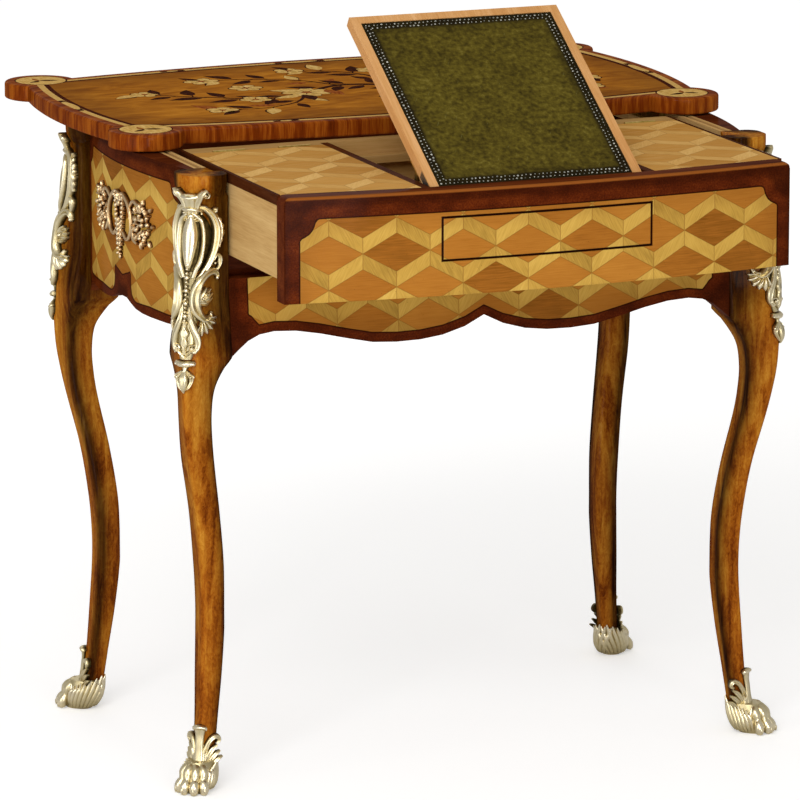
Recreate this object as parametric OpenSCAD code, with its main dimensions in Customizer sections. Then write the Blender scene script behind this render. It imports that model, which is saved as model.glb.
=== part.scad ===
// Mechanical writing table: pulling the drawer forward slides the top back,
// and a leather reading slope tilts up out of the drawer.
// Sizes are in millimetres. X runs to the right, Y to the back, Z up.
// The table stands as it is used: drawer and top open, slope raised.

/* [Table] */
// Height of the top's upper face above the floor
table_h = 750; // [735:5:780]
// Distance from the centre to each leg's axis, left and right
leg_x = 342; // [336:1:360]
// Distance from the centre to each leg's axis, front and back
leg_y = 193; // [190:1:205]
// Distance from a leg's axis to the flat inner faces of its post
post_in = 27; // [26.5:0.5:27.5]
// Height of the posts, from the case's top to the spring of the legs
post_h = 214; // [208:1:225]
// How far the side panels bow out between the posts
side_swell = 19; // [14:1:24]
// How far the drawer and the top each slide open
open_travel = 173; // [165:1:175]

/* [Top] */
// Thickness of the sliding top
top_t = 20; // [18:1:24]
// Gap between the drawer and the top's underside
top_gap = 2; // [2:0.5:4]
// Radius of the lobes at the top's corners
lobe_r = 44; // [40:1:48]
// How far the lobes' centres lie outside the legs' axes, left and right
lobe_out_x = 2; // [0:1:6]
// How far the lobes' centres lie inside the legs' axes, front and back
lobe_in_y = 5; // [0:1:8]
// How far the bowed sides reach beyond the lobes' centres
side_reach = 43; // [36:1:44]
// How far the bowed front and back reach beyond the lobes' centres
front_reach = 31; // [26:1:38]
// How far the front and back edges bow out between the lobes
front_bow = 32; // [24:1:36]
// How far the side edges bow out between the lobes
side_bow = 22; // [16:1:26]
// Width of the cross-grain banding round the edge
banding_w = 12; // [8:1:16]
// Radius of the step that eases the edge
edge_ease = 2; // [1:0.5:4]
// Thickness of the marquetry sheet
veneer_t = 1.2; // [0.8:0.1:2]

/* [Drawer] */
// Height of the drawer front
front_h = 121.5; // [118:0.5:122]
// Thickness of the drawer front at its ends
front_t = 24; // [20:1:26]
// How far the drawer front bows out between its ends
front_bulge = 23; // [16:1:26]
// Gap between the drawer's ends and the posts
drawer_gap = 2; // [1.5:0.5:4]
// Thickness of the drawer's sides
side_t = 12; // [10:1:13]
// Depth of the drawer behind its front
drawer_depth = 316.5; // [314:0.5:334]
// Height of the drawer's sides below their top
side_h = 95.5; // [90:0.5:96]
// Thickness of the drawer's bottom
bottom_t = 6; // [5:0.5:8]
// Height from the sides' lower edge to the drawer's bottom board
bottom_up = 4; // [3:0.5:6]
// Half of the width of the well in the middle
well_half = 134; // [134:0.5:137]
// Thickness of the well's partitions
partition_t = 10; // [9:1:12]
// Thickness of the drawer's back
back_t = 18; // [14:1:18]
// Thickness of the lids
lid_t = 11.7; // [10:0.1:12]
// Width of the cap strip beside each lid
cap_w = 4; // [3:0.5:5]

/* [Reading slope] */
// Angle of the raised slope above level
slope_angle = 32.5; // [25:0.5:33]
// Gap between the slope and the partitions at its sides
slope_gap = 3; // [2.5:0.5:5]
// Length of the slope behind its pivot
slope_len = 299.5; // [290:0.5:304]
// Thickness of the slope
slope_t = 13; // [12:0.5:14]
// Width of the slope's frame
slope_rim = 11; // [11:0.5:14]
// Thickness of the board inside the frame
board_t = 9; // [7:0.5:9.5]
// Thickness of the leather
leather_t = 1.2; // [0.8:0.1:2]
// Radius of the slope's pivot pins
pivot_r = 2.5; // [2:0.1:3]
// Outer radius of the curved stays
stay_r = 58; // [54:1:58]

/* [Pen drawer] */
// Width of the drawer front between the small drawer and the partitions' line
pen_margin = 4.5; // [4:0.5:10]
// Height of the small drawer's front
pen_h = 50; // [44:1:51]
// Length of the small drawer behind its front
pen_len = 130; // [110:1:140]

/* [Gearing] */
// Module of the racks and pinions
gear_module = 2; // [2:0.1:2.2]
// Teeth on each pinion
pinion_teeth = 20; // [19:1:20]
// Width of the pinions and racks
gear_w = 7; // [5:0.5:7.5]
// Radius of the pinions' axles
axle_r = 4; // [3:0.5:5]

/* [Hidden] */

// Small clearances: running fit, sliding fit, and fit of curved metal on wood
run = 0.05;
slide = 0.5;
seat = 0.15;

// Levels and planes of the case, in its own frame with the drawer closed
case_top = table_h - top_t - top_gap;
top_under = case_top + top_gap;
in_x = leg_x - post_in;
in_y = leg_y - post_in;
drawer_half = in_x - drawer_gap;
front_proud = 18.5;
apron_proud = 20;
slope_half = well_half - slope_gap;
pen_half = well_half - pen_margin;
lobe_x = leg_x + lobe_out_x;
lobe_y = leg_y - lobe_in_y;
top_half_w = lobe_x + side_reach;
top_half_d = lobe_y + front_reach;
front_y = leg_y + front_proud;
front_back_y = front_y - front_t;
apron_y = leg_y + apron_proud;
apron_t = 18;
apron_top = case_top - front_h - 1.5;
rail_depth = 45;
rail_back_y = front_back_y - 1.5;
drawer_back_y = drawer_depth - front_back_y;
side_top = case_top - 12;
side_low = side_top + 12 - side_h;
back_panel_in = leg_y - 5;
back_panel_t = 16;
panel_in_x = leg_x - 2;
overhang = open_travel + lobe_y + lobe_r;
frame_y = -(overhang - front_y - front_bulge - open_travel) / 2;

// Legs: [share of the free leg's height, inner offset, outer offset] from the
// leg's axis, and for the post [height above the knee, inner, outer]
sabot_h = 36;
knee_z = case_top - post_h;
leg_stations = [
  [0, 10, 12], [0.09, 15.2, 8], [0.2, 21.8, 4.8], [0.32, 26.9, 1.9], [0.4, 27, 2],
  [0.49, 25.3, 4.8], [0.615, 17.8, 12.4], [0.74, 7.4, 24.4], [0.8, 3.8, 29.6],
  [0.866, 2.4, 34], [0.93, 6.5, 35.7], [0.985, 20, 36]];
post_stations = [
  [0, post_in, 36], [34, post_in, 34.5], [72, post_in, 31], [115, post_in, 25],
  [138, post_in, 21], [166, post_in, 19], [184, post_in, 20],
  [196, post_in, 25.5], [202, post_in, 27], [post_h, post_in, 27]];
stations = concat(
  [for (s = leg_stations) [sabot_h + s[0] * (knee_z - sabot_h), min(s[1], post_in), s[2]]],
  [for (s = post_stations) [s[0] < post_h ? knee_z + s[0] : case_top, s[1], s[2]]]);

function span_of(z, i = 0) =
  i >= len(stations) - 2 || z <= stations[i + 1][0] ? i : span_of(z, i + 1);
function rate(i, k) =
  let (a = max(i - 1, 0), b = min(i + 1, len(stations) - 1))
  (stations[b][k] - stations[a][k]) / (stations[b][0] - stations[a][0]);
// Smooth curve through the stations
function offset_at(z, k) =
  let (
    i = span_of(z),
    h = stations[i + 1][0] - stations[i][0],
    t = (z - stations[i][0]) / h)
  (2 * t ^ 3 - 3 * t ^ 2 + 1) * stations[i][k] + (t ^ 3 - 2 * t ^ 2 + t) * h * rate(i, k)
  + (3 * t ^ 2 - 2 * t ^ 3) * stations[i + 1][k] + (t ^ 3 - t ^ 2) * h * rate(i + 1, k);
function leg_in(z) = z >= knee_z ? post_in : min(offset_at(z, 1), post_in);
function leg_out(z) = offset_at(z, 2);
// Offset of the post's side arrises: upright above the knee, while the outer corner leans out
arris_out = 20;
arris_rise = 76;
function eased(t) = let (u = min(max(t, 0), 1)) u ^ 2 * (3 - 2 * u);
function side_out(z) =
  z > case_top - 26 || z <= knee_z ? leg_out(z) :
  min(leg_out(z), arris_out + (leg_out(knee_z) - arris_out) * (1 - eased((z - knee_z) / arris_rise)));

corner_steps = 3;
// Radius of the section's outer corner and of its two side corners
function outer_round(z) =
  z > case_top - 26 ? leg_out(z) * 0.98 : z > knee_z ? leg_out(z) * 0.5 : 5.5;
function side_round(z) = z > case_top - 26 ? 16 : z > knee_z ? 3 : 5;
function inner_round(z) = z > knee_z - 30 ? 1 : 4;
// One corner of the section: centre of the arc at c, radius r, from angle a
function arc_points(c, r, a) =
  [for (i = [0 : corner_steps]) c + r * [cos(a + 90 * i / corner_steps), sin(a + 90 * i / corner_steps)]];
// Section of the back right leg at height z, round its axis
function leg_section(z, grow = 0) =
  let (
    a = leg_in(z) + grow, b = leg_out(z) + grow, f = side_out(z) + grow,
    o = outer_round(z), s = side_round(z), n = inner_round(z))
  concat(
    arc_points([b - o, b - o], o, 0), arc_points([-a + s, f - s], s, 90),
    arc_points([-a + n, -a + n], n, 180), arc_points([f - s, -a + s], s, 270));
function leg_ring(z, grow = 0) =
  [for (p = leg_section(z, grow)) [leg_x + p[0], leg_y + p[1], z]];
section_count = 4 * (corner_steps + 1);

leg_levels = concat(
  [for (i = [0 : 22]) sabot_h + (knee_z - sabot_h) * i / 23],
  [for (d = [0, 16, 34, 53, 72, 92, 106, 120, 138, 152, 166, 178, 187, 193]) knee_z + d],
  [case_top - 14, case_top - 2, case_top]);

// Closed solid through a list of rings with equal point counts
module ring_solid(rings) {
  n = len(rings[0]);
  m = len(rings);
  points = concat([for (r = rings) each r], [centre_of(rings[0]), centre_of(rings[m - 1])]);
  faces = concat(
    [for (j = [0 : m - 2], i = [0 : n - 1]) each [
      [j * n + i, (j + 1) * n + i, j * n + (i + 1) % n],
      [j * n + (i + 1) % n, (j + 1) * n + i, (j + 1) * n + (i + 1) % n]]],
    [for (i = [0 : n - 1]) [m * n, i, (i + 1) % n]],
    [for (i = [0 : n - 1]) [m * n + 1, (m - 1) * n + (i + 1) % n, (m - 1) * n + i]]);
  polyhedron(points = points, faces = faces, convexity = 8);
}
function sum_of(v, i = 0) = i == len(v) - 1 ? v[i] : v[i] + sum_of(v, i + 1);
function centre_of(ring) = sum_of(ring) / len(ring);

// Closed board between two grids of points, [columns][rows]
module curved_board(outer, inner) {
  n = len(outer);
  m = len(outer[0]);
  k = n * m;
  points = concat([for (c = outer) each c], [for (c = inner) each c]);
  faces = concat(
    [for (i = [0 : n - 2], j = [0 : m - 2]) each [
      [i * m + j, i * m + j + 1, (i + 1) * m + j],
      [(i + 1) * m + j, i * m + j + 1, (i + 1) * m + j + 1],
      [k + i * m + j, k + (i + 1) * m + j, k + i * m + j + 1],
      [k + (i + 1) * m + j, k + (i + 1) * m + j + 1, k + i * m + j + 1]]],
    [for (i = [0 : n - 2]) each [
      [i * m, (i + 1) * m, k + i * m],
      [(i + 1) * m, k + (i + 1) * m, k + i * m],
      [i * m + m - 1, k + i * m + m - 1, (i + 1) * m + m - 1],
      [(i + 1) * m + m - 1, k + i * m + m - 1, k + (i + 1) * m + m - 1]]],
    [for (j = [0 : m - 2]) each [
      [j, k + j, j + 1],
      [j + 1, k + j, k + j + 1],
      [(n - 1) * m + j, (n - 1) * m + j + 1, k + (n - 1) * m + j],
      [(n - 1) * m + j + 1, k + (n - 1) * m + j + 1, k + (n - 1) * m + j]]]);
  polyhedron(points = points, faces = faces, convexity = 8);
}

// A block between two opposite corners
module block(low, high) {
  translate(low) cube(high - low);
}
// Places of the table's moving groups, and mirrored halves
module on_table() {
  translate([0, frame_y, 0]) children();
}
module on_drawer() {
  translate([0, frame_y - open_travel, 0]) children();
}
module on_top() {
  translate([0, frame_y + open_travel, 0]) children();
}
module left() {
  mirror([1, 0, 0]) children();
}
module front() {
  mirror([0, 1, 0]) children();
}
// Extrudes a profile drawn in Y and Z along X, from x0
module along_x(x0, length) {
  translate([x0, 0, 0]) rotate([90, 0, 90]) linear_extrude(length) children();
}
module rod_x(x0, length, r, y, z, fn = 48) {
  translate([x0, y, z]) rotate([0, 90, 0]) cylinder(r = r, h = length, $fn = fn);
}

// Gears: pitch radius, heights of the pinion's axis and of the racks
pitch = PI * gear_module;
pitch_r = gear_module * pinion_teeth / 2;
backlash = 0.3;
dedendum = 1.25 * gear_module;
// Thickness of the top's racks above their roots
rack_back = 14.5;
pinion_z = top_under - rack_back - dedendum - pitch_r;
gear_x = drawer_half + 4;
rack_low_z = pinion_z - pitch_r;
rack_high_z = pinion_z + pitch_r;
rack_body = 10;
rack_count = ceil((open_travel + 12) / pitch);
mesh_reach = rack_count * pitch;

// Channels in the posts that let the racks pass
channel_end = leg_y - 1.5;
channel_x = gear_x + gear_w + 1.5;

module post_channels() {
  block([in_x - 1, in_y - 1, rack_low_z - rack_body - 2],
        [channel_x, channel_end, rack_low_z + gear_module + 2]);
  block([in_x - 1, in_y - 1, rack_high_z - gear_module - 2],
        [channel_x, channel_end, case_top + 1]);
}
module leg() {
  color([0.5, 0.29, 0.11])
    difference() {
      ring_solid([for (z = leg_levels) leg_ring(z)]);
      post_channels();
    }
}
module leg_front_left() {
  on_table() left() front() leg();
}
module leg_front_right() {
  on_table() front() leg();
}
module leg_back_left() {
  on_table() left() leg();
}
module leg_back_right() {
  on_table() leg();
}

// Sabots: a paw with four toes under a sleeve whose leaf climbs the outer corner
sleeve_h = 24;
leaf_h = 34;
sleeve_t = 2;
paw_lean = 11;
function paw_ring(z, size, reach, toe) =
  [for (i = [0 : 31])
    let (
      a = 360 * i / 32,
      out = max(0, cos(a - 45)),
      r = size + reach * out ^ 2 + toe * out * cos(6 * (a - 45)))
    [leg_x + paw_lean + r * cos(a), leg_y + paw_lean + r * sin(a), z]];
function leaf_z(i) =
  let (a = 90 * i / (corner_steps + 1) + 15)
  sabot_h + sleeve_h + leaf_h * max(0, cos(2 * (a - 45))) ^ 2;
function leaf_ring(grow, top) =
  [for (i = [0 : section_count - 1])
    let (z = top ? leaf_z(i) : sabot_h, p = leg_section(z, grow)[i])
    [leg_x + p[0], leg_y + p[1], z]];
module sabot() {
  color([0.82, 0.76, 0.55]) {
    union() {
      ring_solid([
        paw_ring(0, 19, 6, 3), paw_ring(7, 21, 8, 4), paw_ring(15, 21, 8, 3.5),
        paw_ring(23, 20, 5, 2.5), paw_ring(30, 18, 2, 1), paw_ring(sabot_h, 16, 0, 0)]);
      difference() {
        ring_solid([leaf_ring(sleeve_t + 0.8, false), leaf_ring(sleeve_t, true)]);
        ring_solid([for (k = [0 : 6]) leg_ring(sabot_h + k * 12, seat)]);
      }
    }
  }
}
module sabot_front_left() {
  on_table() left() front() sabot();
}
module sabot_front_right() {
  on_table() front() sabot();
}
module sabot_back_left() {
  on_table() left() sabot();
}
module sabot_back_right() {
  on_table() sabot();
}

// Knee mounts: cast shells over the outer corner of each post.
// Each row is [height above the knee, how many corner steps wide, thickness]
mount_rows = [
  [-32, 0.5, 1.5], [-24, 1.2, 4], [-12, 1.4, 3.5], [0, 2.4, 5], [16, 3.4, 8], [34, 3.6, 8.5],
  [53, 3.4, 8.5], [72, 3, 9.5], [92, 2.9, 11.5], [106, 2.6, 11], [120, 2.1, 8], [138, 1.5, 3.5],
  [152, 1.3, 3.5], [166, 1.7, 6], [178, 2, 5]];
mount_steps = 8;
// Point on the shell: s runs from -1 to 1 across the outer corner
function mount_point(row, s, grow) =
  let (
    z = knee_z + row[0],
    o = outer_round(z),
    b = leg_out(z) + grow,
    c = b - o,
    lean = (leg_out(z) - side_out(z)) / (leg_in(z) + leg_out(z) - o - side_round(z)),
    u = s * row[1] * 11,
    arc = PI * o / 2,
    t = u + arc / 2,
    p = t < 0 ? [b + lean * t, c + t] :
      t > arc ? [c - (t - arc), b - lean * (t - arc)] :
      [c, c] + o * [cos(90 * t / arc), sin(90 * t / arc)])
  [leg_x + p[0], leg_y + p[1], z];
module knee_mount() {
  color([0.82, 0.76, 0.55])
    difference() {
      curved_board(
        [for (i = [0 : mount_steps])
          let (s = 2 * i / mount_steps - 1)
          [for (row = mount_rows) mount_point(row, s, seat + 0.8 + row[2] * (1 - s ^ 4))]],
        [for (i = [0 : mount_steps])
          [for (row = mount_rows) mount_point(row, 2 * i / mount_steps - 1, -1)]]);
      ring_solid([for (z = leg_levels) if (z > knee_z - 70) leg_ring(z, seat)]);
    }
}
module knee_mount_front_left() {
  on_table() left() front() knee_mount();
}
module knee_mount_front_right() {
  on_table() front() knee_mount();
}
module knee_mount_back_left() {
  on_table() left() knee_mount();
}
module knee_mount_back_right() {
  on_table() knee_mount();
}

// Lower edges of the aprons: [distance from the centre, depth below the case's top]
front_edge = [
  [0, 187], [24, 199], [52, 207], [80, 210.5], [110, 211], [140, 209], [172, 202], [205, 194],
  [235, 188.5], [262, 187], [280, 189.5], [294, 196], [305, 205], [in_x, post_h]];
side_edge = [
  [0, 177], [14, 177], [26, 181], [41, 185.5], [60, 187.5], [78, 188], [100, 188], [123, 188],
  [144, 187], [154, 189.5], [161, 195], [in_y, 203]];
// How far the side panels stand outside the legs' axes at the posts
side_base = 8;

function table_at(t, x, i = 0) =
  x >= t[len(t) - 1][0] ? t[len(t) - 1][1] :
  x <= t[i + 1][0] ? t[i][1] + (x - t[i][0]) / (t[i + 1][0] - t[i][0]) * (t[i + 1][1] - t[i][1]) :
  table_at(t, x, i + 1);
function panel_x(y) = leg_x + side_base + side_swell * (1 - (y / in_y) ^ 2);
function panel_low(y) = case_top - table_at(side_edge, abs(y));

side_columns = concat(
  [for (e = [len(side_edge) - 1 : -1 : 1]) -side_edge[e][0]], [for (e = side_edge) e[0]]);
module side_panel() {
  color([0.7, 0.5, 0.25])
    curved_board(
      [for (y = side_columns) [[panel_x(y), y, panel_low(y)], [panel_x(y), y, case_top]]],
      [for (y = side_columns) [[panel_in_x, y, panel_low(y)], [panel_in_x, y, case_top]]]);
}
module side_panel_left() {
  on_table() left() side_panel();
}
module side_panel_right() {
  on_table() side_panel();
}

// Side mounts: a garland of leaves that hugs the panel below its rail
// Rows are [distance along the panel, upper depth, lower depth] from the case's top
garland = mirrored([
  [0, 50, 132], [5, 51, 126], [10, 56, 106], [18, 53, 104], [28, 54, 106], [38, 62, 98], [46, 67, 94],
  [54, 60, 100], [67, 57, 103], [80, 62, 97], [89, 76, 84]]);
garland_t = 4;
garland_rows = 6;
garland_seat = 0.5;
module side_mount() {
  color([0.72, 0.58, 0.38])
    curved_board(
      [for (g = garland)
        [for (j = [0 : garland_rows])
          let (
            z = case_top - g[2] + (g[2] - g[1]) * j / garland_rows,
            t = 0.8 + garland_t * (1 - (2 * j / garland_rows - 1) ^ 2))
          [panel_x(g[0]) + garland_seat + t, g[0], z]]],
      [for (g = garland)
        [for (j = [0 : garland_rows])
          let (z = case_top - g[2] + (g[2] - g[1]) * j / garland_rows)
          [panel_x(g[0]) + garland_seat, g[0], z]]]);
}
module side_mount_left() {
  on_table() left() side_mount();
}
module side_mount_right() {
  on_table() side_mount();
}

// Front apron, scalloped below, swelling a little over its height
apron_swell = 5;
function mirrored(t) =
  concat(
    [for (e = [len(t) - 1 : -1 : 1]) [-t[e][0], for (k = [1 : len(t[e]) - 1]) t[e][k]]],
    t);
front_columns = mirrored(front_edge);
apron_rows = 4;
module scalloped_board(y_out, y_in, top) {
  curved_board(
    [for (e = front_columns)
      let (low = case_top - e[1])
      [for (j = [0 : apron_rows])
        let (z = low + (top - low) * j / apron_rows)
        [e[0], y_out + apron_swell * sin(90 * (top - z) / (top - case_top + post_h)), z]]],
    [for (e = front_columns)
      let (low = case_top - e[1])
      [for (j = [0 : apron_rows]) [e[0], y_in, low + (top - low) * j / apron_rows]]]);
}
module front_apron() {
  color([0.7, 0.5, 0.25]) on_table() front() left() scalloped_board(apron_y, apron_y - apron_t, apron_top);
}
// The rail that the drawer runs over
module front_rail() {
  color([0.45, 0.27, 0.12])
    on_table() {
      block([-in_x, -(apron_y - apron_t), apron_top - 19], [in_x, -rail_back_y + rail_depth, apron_top]);
      block([-in_x, -rail_back_y, apron_top], [in_x, -rail_back_y + rail_depth, side_low - 0.3]);
    }
}
module back_panel() {
  color([0.7, 0.5, 0.25])
    on_table()
      scalloped_board(back_panel_in + back_panel_t, back_panel_in, case_top);
}
// Hardwood runners under the drawer's sides
runner_h = 20;
runner_w = 15;
module runner() {
  color([0.78, 0.6, 0.38])
    block([drawer_half - runner_w, -rail_back_y + rail_depth, side_low - 0.3 - runner_h],
          [in_x, back_panel_in, side_low - 0.3]);
}
module runner_left() {
  on_table() left() runner();
}
module runner_right() {
  on_table() runner();
}

// Guides on the case's sides, with a T slot for the top's battens
guide_h = 30;
guide_x = channel_x;
batten_x = (guide_x + panel_in_x) / 2;
stem_w = 5;
flange_w = 10;
flange_h = 6;
flange_up = 5;
flange_z = case_top - guide_h + flange_up;
module top_guide() {
  color([0.78, 0.6, 0.38])
    difference() {
      block([guide_x, -in_y, case_top - guide_h], [panel_in_x, in_y, case_top]);
      block([batten_x - stem_w / 2 - slide, -in_y - 1, flange_z],
            [batten_x + stem_w / 2 + slide, in_y + 1, case_top + 1]);
      block([batten_x - flange_w / 2 - slide, -in_y - 1, flange_z - slide],
            [batten_x + flange_w / 2 + slide, in_y + 1, flange_z + flange_h + slide]);
    }
}
module top_guide_left() {
  on_table() left() top_guide();
}
module top_guide_right() {
  on_table() top_guide();
}
// Battens under the top: screwed up to it, held down by the guides
batten_front = in_y - 16;
batten_len = 128;
module top_batten() {
  color([0.6, 0.4, 0.2])
    union() {
      block([batten_x - stem_w / 2, -batten_front, flange_z],
            [batten_x + stem_w / 2, -batten_front + batten_len, top_under]);
      block([batten_x - flange_w / 2, -batten_front, flange_z],
            [batten_x + flange_w / 2, -batten_front + batten_len, flange_z + flange_h]);
    }
}
module top_batten_left() {
  on_top() left() top_batten();
}
module top_batten_right() {
  on_top() top_batten();
}

// Brackets that carry the pinions on stub axles
bracket_l = 30;
bracket_h = 2 * pitch_r - 6;
washer_t = 1.2;
side_play = 0.3;
module pinion_bracket() {
  color([0.72, 0.6, 0.3])
    union() {
      block([guide_x, -bracket_l / 2, case_top - guide_h - bracket_h],
            [panel_in_x, bracket_l / 2, case_top - guide_h]);
      rod_x(gear_x + gear_w + side_play, guide_x - gear_x - gear_w - side_play,
            axle_r + 4, 0, pinion_z);
      rod_x(gear_x - side_play - washer_t, guide_x - gear_x + side_play + washer_t + 3,
            axle_r, 0, pinion_z);
      rod_x(gear_x - side_play - washer_t, washer_t, axle_r + 3, 0, pinion_z);
    }
}
module pinion_bracket_left() {
  on_table() left() pinion_bracket();
}
module pinion_bracket_right() {
  on_table() pinion_bracket();
}

// Involute tooth of the pinion, centred on angle zero
pressure = 20;
base_r = pitch_r * cos(pressure);
tip_r = pitch_r + gear_module;
root_r = pitch_r - dedendum;
half_base = (pitch / 2 - backlash) / 2 / pitch_r * 180 / PI + tan(pressure) * 180 / PI - pressure;
function flank(r) =
  let (roll = sqrt((r / base_r) ^ 2 - 1)) half_base - (roll * 180 / PI - atan(roll));
function polar(r, a) = r * [cos(a), sin(a)];
flank_steps = 4;
function tooth(a) = concat(
  [polar(root_r, a - half_base - 1.2), polar(base_r, a - half_base)],
  [for (i = [1 : flank_steps])
    let (r = base_r + (tip_r - base_r) * i / flank_steps) polar(r, a - flank(r))],
  [for (i = [flank_steps : -1 : 1])
    let (r = base_r + (tip_r - base_r) * i / flank_steps) polar(r, a + flank(r))],
  [polar(base_r, a + half_base), polar(root_r, a + half_base + 1.2)]);
module pinion() {
  color([0.78, 0.66, 0.3])
    difference() {
      translate([0, 0, pinion_z])
        along_x(gear_x, gear_w)
          polygon([for (k = [0 : pinion_teeth - 1]) each tooth(90 + 360 * k / pinion_teeth)]);
      rod_x(gear_x - 1, gear_w + 2, axle_r + run, 0, pinion_z);
    }
}
module pinion_left() {
  on_table() left() pinion();
}
module pinion_right() {
  on_table() pinion();
}

// Rack profile in Y and Z: teeth point up, a gap lies at y = 0, teeth run to +y
rack_tip = (pitch / 2 - backlash) / 2 - gear_module * tan(pressure);
rack_root = (pitch / 2 - backlash) / 2 + dedendum * tan(pressure);
rack_lead = 3;
module rack_profile() {
  polygon(concat(
    [[mesh_reach + rack_lead, -rack_body], [-rack_lead - pitch, -rack_body],
     [-rack_lead - pitch, -dedendum]],
    [for (k = [-1 : rack_count - 1])
      let (y = (k + 0.5) * pitch)
      each [[y - rack_root, -dedendum], [y - rack_tip, gear_module],
            [y + rack_tip, gear_module], [y + rack_root, -dedendum]]],
    [[mesh_reach + rack_lead, -dedendum]]));
}
module drawer_rack() {
  color([0.72, 0.6, 0.3])
    intersection() {
      translate([0, 0, rack_low_z])
        along_x(drawer_half, gear_x + gear_w - drawer_half) mirror([1, 0, 0]) rack_profile();
      block([0, -channel_end + 1, 0], [2 * in_x, channel_end, case_top]);
    }
}
module drawer_rack_left() {
  on_table() left() drawer_rack();
}
module drawer_rack_right() {
  on_table() drawer_rack();
}
module top_rack() {
  color([0.72, 0.6, 0.3])
    intersection() {
      union() {
        translate([0, 0, rack_high_z])
          along_x(gear_x, gear_w) mirror([0, 1, 0]) rack_profile();
        block([gear_x, -rack_lead - pitch, rack_high_z + rack_body - 1],
              [gear_x + gear_w, mesh_reach + rack_lead, top_under]);
      }
      block([0, -channel_end, 0], [2 * in_x, channel_end - 1, table_h]);
    }
}
module top_rack_left() {
  on_table() left() top_rack();
}
module top_rack_right() {
  on_table() top_rack();
}

// The top's outline, drawn in by inset: four lobes and bowed edges
front_r = (lobe_x ^ 2 + front_bow ^ 2) / (2 * front_bow);
side_r = (lobe_y ^ 2 + side_bow ^ 2) / (2 * side_bow);
module top_outline(inset) {
  union() {
    intersection() {
      translate([0, top_half_d - front_r]) circle(r = front_r - inset, $fn = 480);
      translate([0, front_r - top_half_d]) circle(r = front_r - inset, $fn = 480);
      translate([top_half_w - side_r, 0]) circle(r = side_r - inset, $fn = 480);
      translate([side_r - top_half_w, 0]) circle(r = side_r - inset, $fn = 480);
    }
    for (sx = [-1, 1], sy = [-1, 1])
      translate([sx * lobe_x, sy * lobe_y]) circle(r = lobe_r - inset, $fn = 96);
  }
}
module top_board() {
  color([0.6, 0.4, 0.2])
    on_top() translate([0, 0, top_under]) linear_extrude(top_t - veneer_t) top_outline(banding_w);
}
module top_banding() {
  color([0.5, 0.24, 0.1])
    on_top()
      difference() {
        union() {
          translate([0, 0, top_under]) linear_extrude(top_t) top_outline(edge_ease);
          translate([0, 0, top_under + edge_ease]) linear_extrude(top_t - 2 * edge_ease) top_outline(0);
        }
        translate([0, 0, top_under - 1]) linear_extrude(top_t + 2) top_outline(banding_w);
      }
}
module top_marquetry() {
  color([0.78, 0.58, 0.28])
    on_top() translate([0, 0, table_h - veneer_t]) linear_extrude(veneer_t) top_outline(banding_w);
}

// The drawer, drawn closed
pen_z = case_top - 31 - pen_h;
pen_gap = 0.8;
// Outer face of the drawer front at x, and its inner face between the partitions' outer faces
function front_out(x) = front_y + front_bulge * (1 - (x / drawer_half) ^ 2);
well_front_y = front_out(well_half + partition_t) - front_t;
front_round = 8;
front_columns_half = 12;
// How far the lowered slope lies below the partitions' top edges
slope_sink = 3.3;
pivot_y = -well_front_y + slope_t / 2 + 0.5;
pivot_z = case_top - slope_t / 2 - slope_sink;
bottom_z = side_low + bottom_up;
// The sides run on behind the back to carry the whole length of the racks
side_end_y = open_travel + rack_lead + pitch;
// Plan of the drawer front, over its height and 1 mm more above and below
module front_plan() {
  translate([0, 0, case_top - front_h - 1])
    linear_extrude(front_h + 2)
      polygon(concat(
        [for (i = [-front_columns_half : front_columns_half])
          let (x = drawer_half * i / front_columns_half) [x, -front_out(x)]],
        [[drawer_half, -front_back_y], [drawer_half - side_t, -front_back_y],
         [well_half + partition_t, -well_front_y], [-well_half - partition_t, -well_front_y],
         [side_t - drawer_half, -front_back_y], [-drawer_half, -front_back_y]]));
}
// Front view of the drawer front: square below, its upper corners rounded
module front_view() {
  rotate([90, 0, 0])
    linear_extrude(front_y + front_bulge + 1)
      polygon(concat(
        [[-drawer_half, case_top - front_h], [drawer_half, case_top - front_h]],
        [for (a = [0 : 15 : 90])
          [drawer_half - front_round, case_top - front_round] + front_round * [cos(a), sin(a)]],
        [for (a = [90 : 15 : 180])
          [front_round - drawer_half, case_top - front_round] + front_round * [cos(a), sin(a)]]));
}
module drawer_front() {
  color([0.66, 0.45, 0.2])
    on_drawer()
      difference() {
        intersection() {
          front_plan();
          front_view();
        }
        block([-pen_half - pen_gap, -front_y - front_bulge - 1, pen_z - pen_gap],
              [pen_half + pen_gap, -well_front_y + 1, pen_z + pen_h + pen_gap]);
      }
}
module drawer_side() {
  color([0.83, 0.69, 0.48])
    block([drawer_half - side_t, -front_back_y, side_low], [drawer_half, side_end_y, side_top]);
}
module drawer_side_left() {
  on_drawer() left() drawer_side();
}
module drawer_side_right() {
  on_drawer() drawer_side();
}
module drawer_caps() {
  color([0.26, 0.12, 0.05])
    on_drawer()
      for (s = [0, 1])
        mirror([s, 0, 0])
          block([drawer_half - cap_w, -front_back_y, side_top], [drawer_half, drawer_back_y, case_top]);
}
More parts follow.
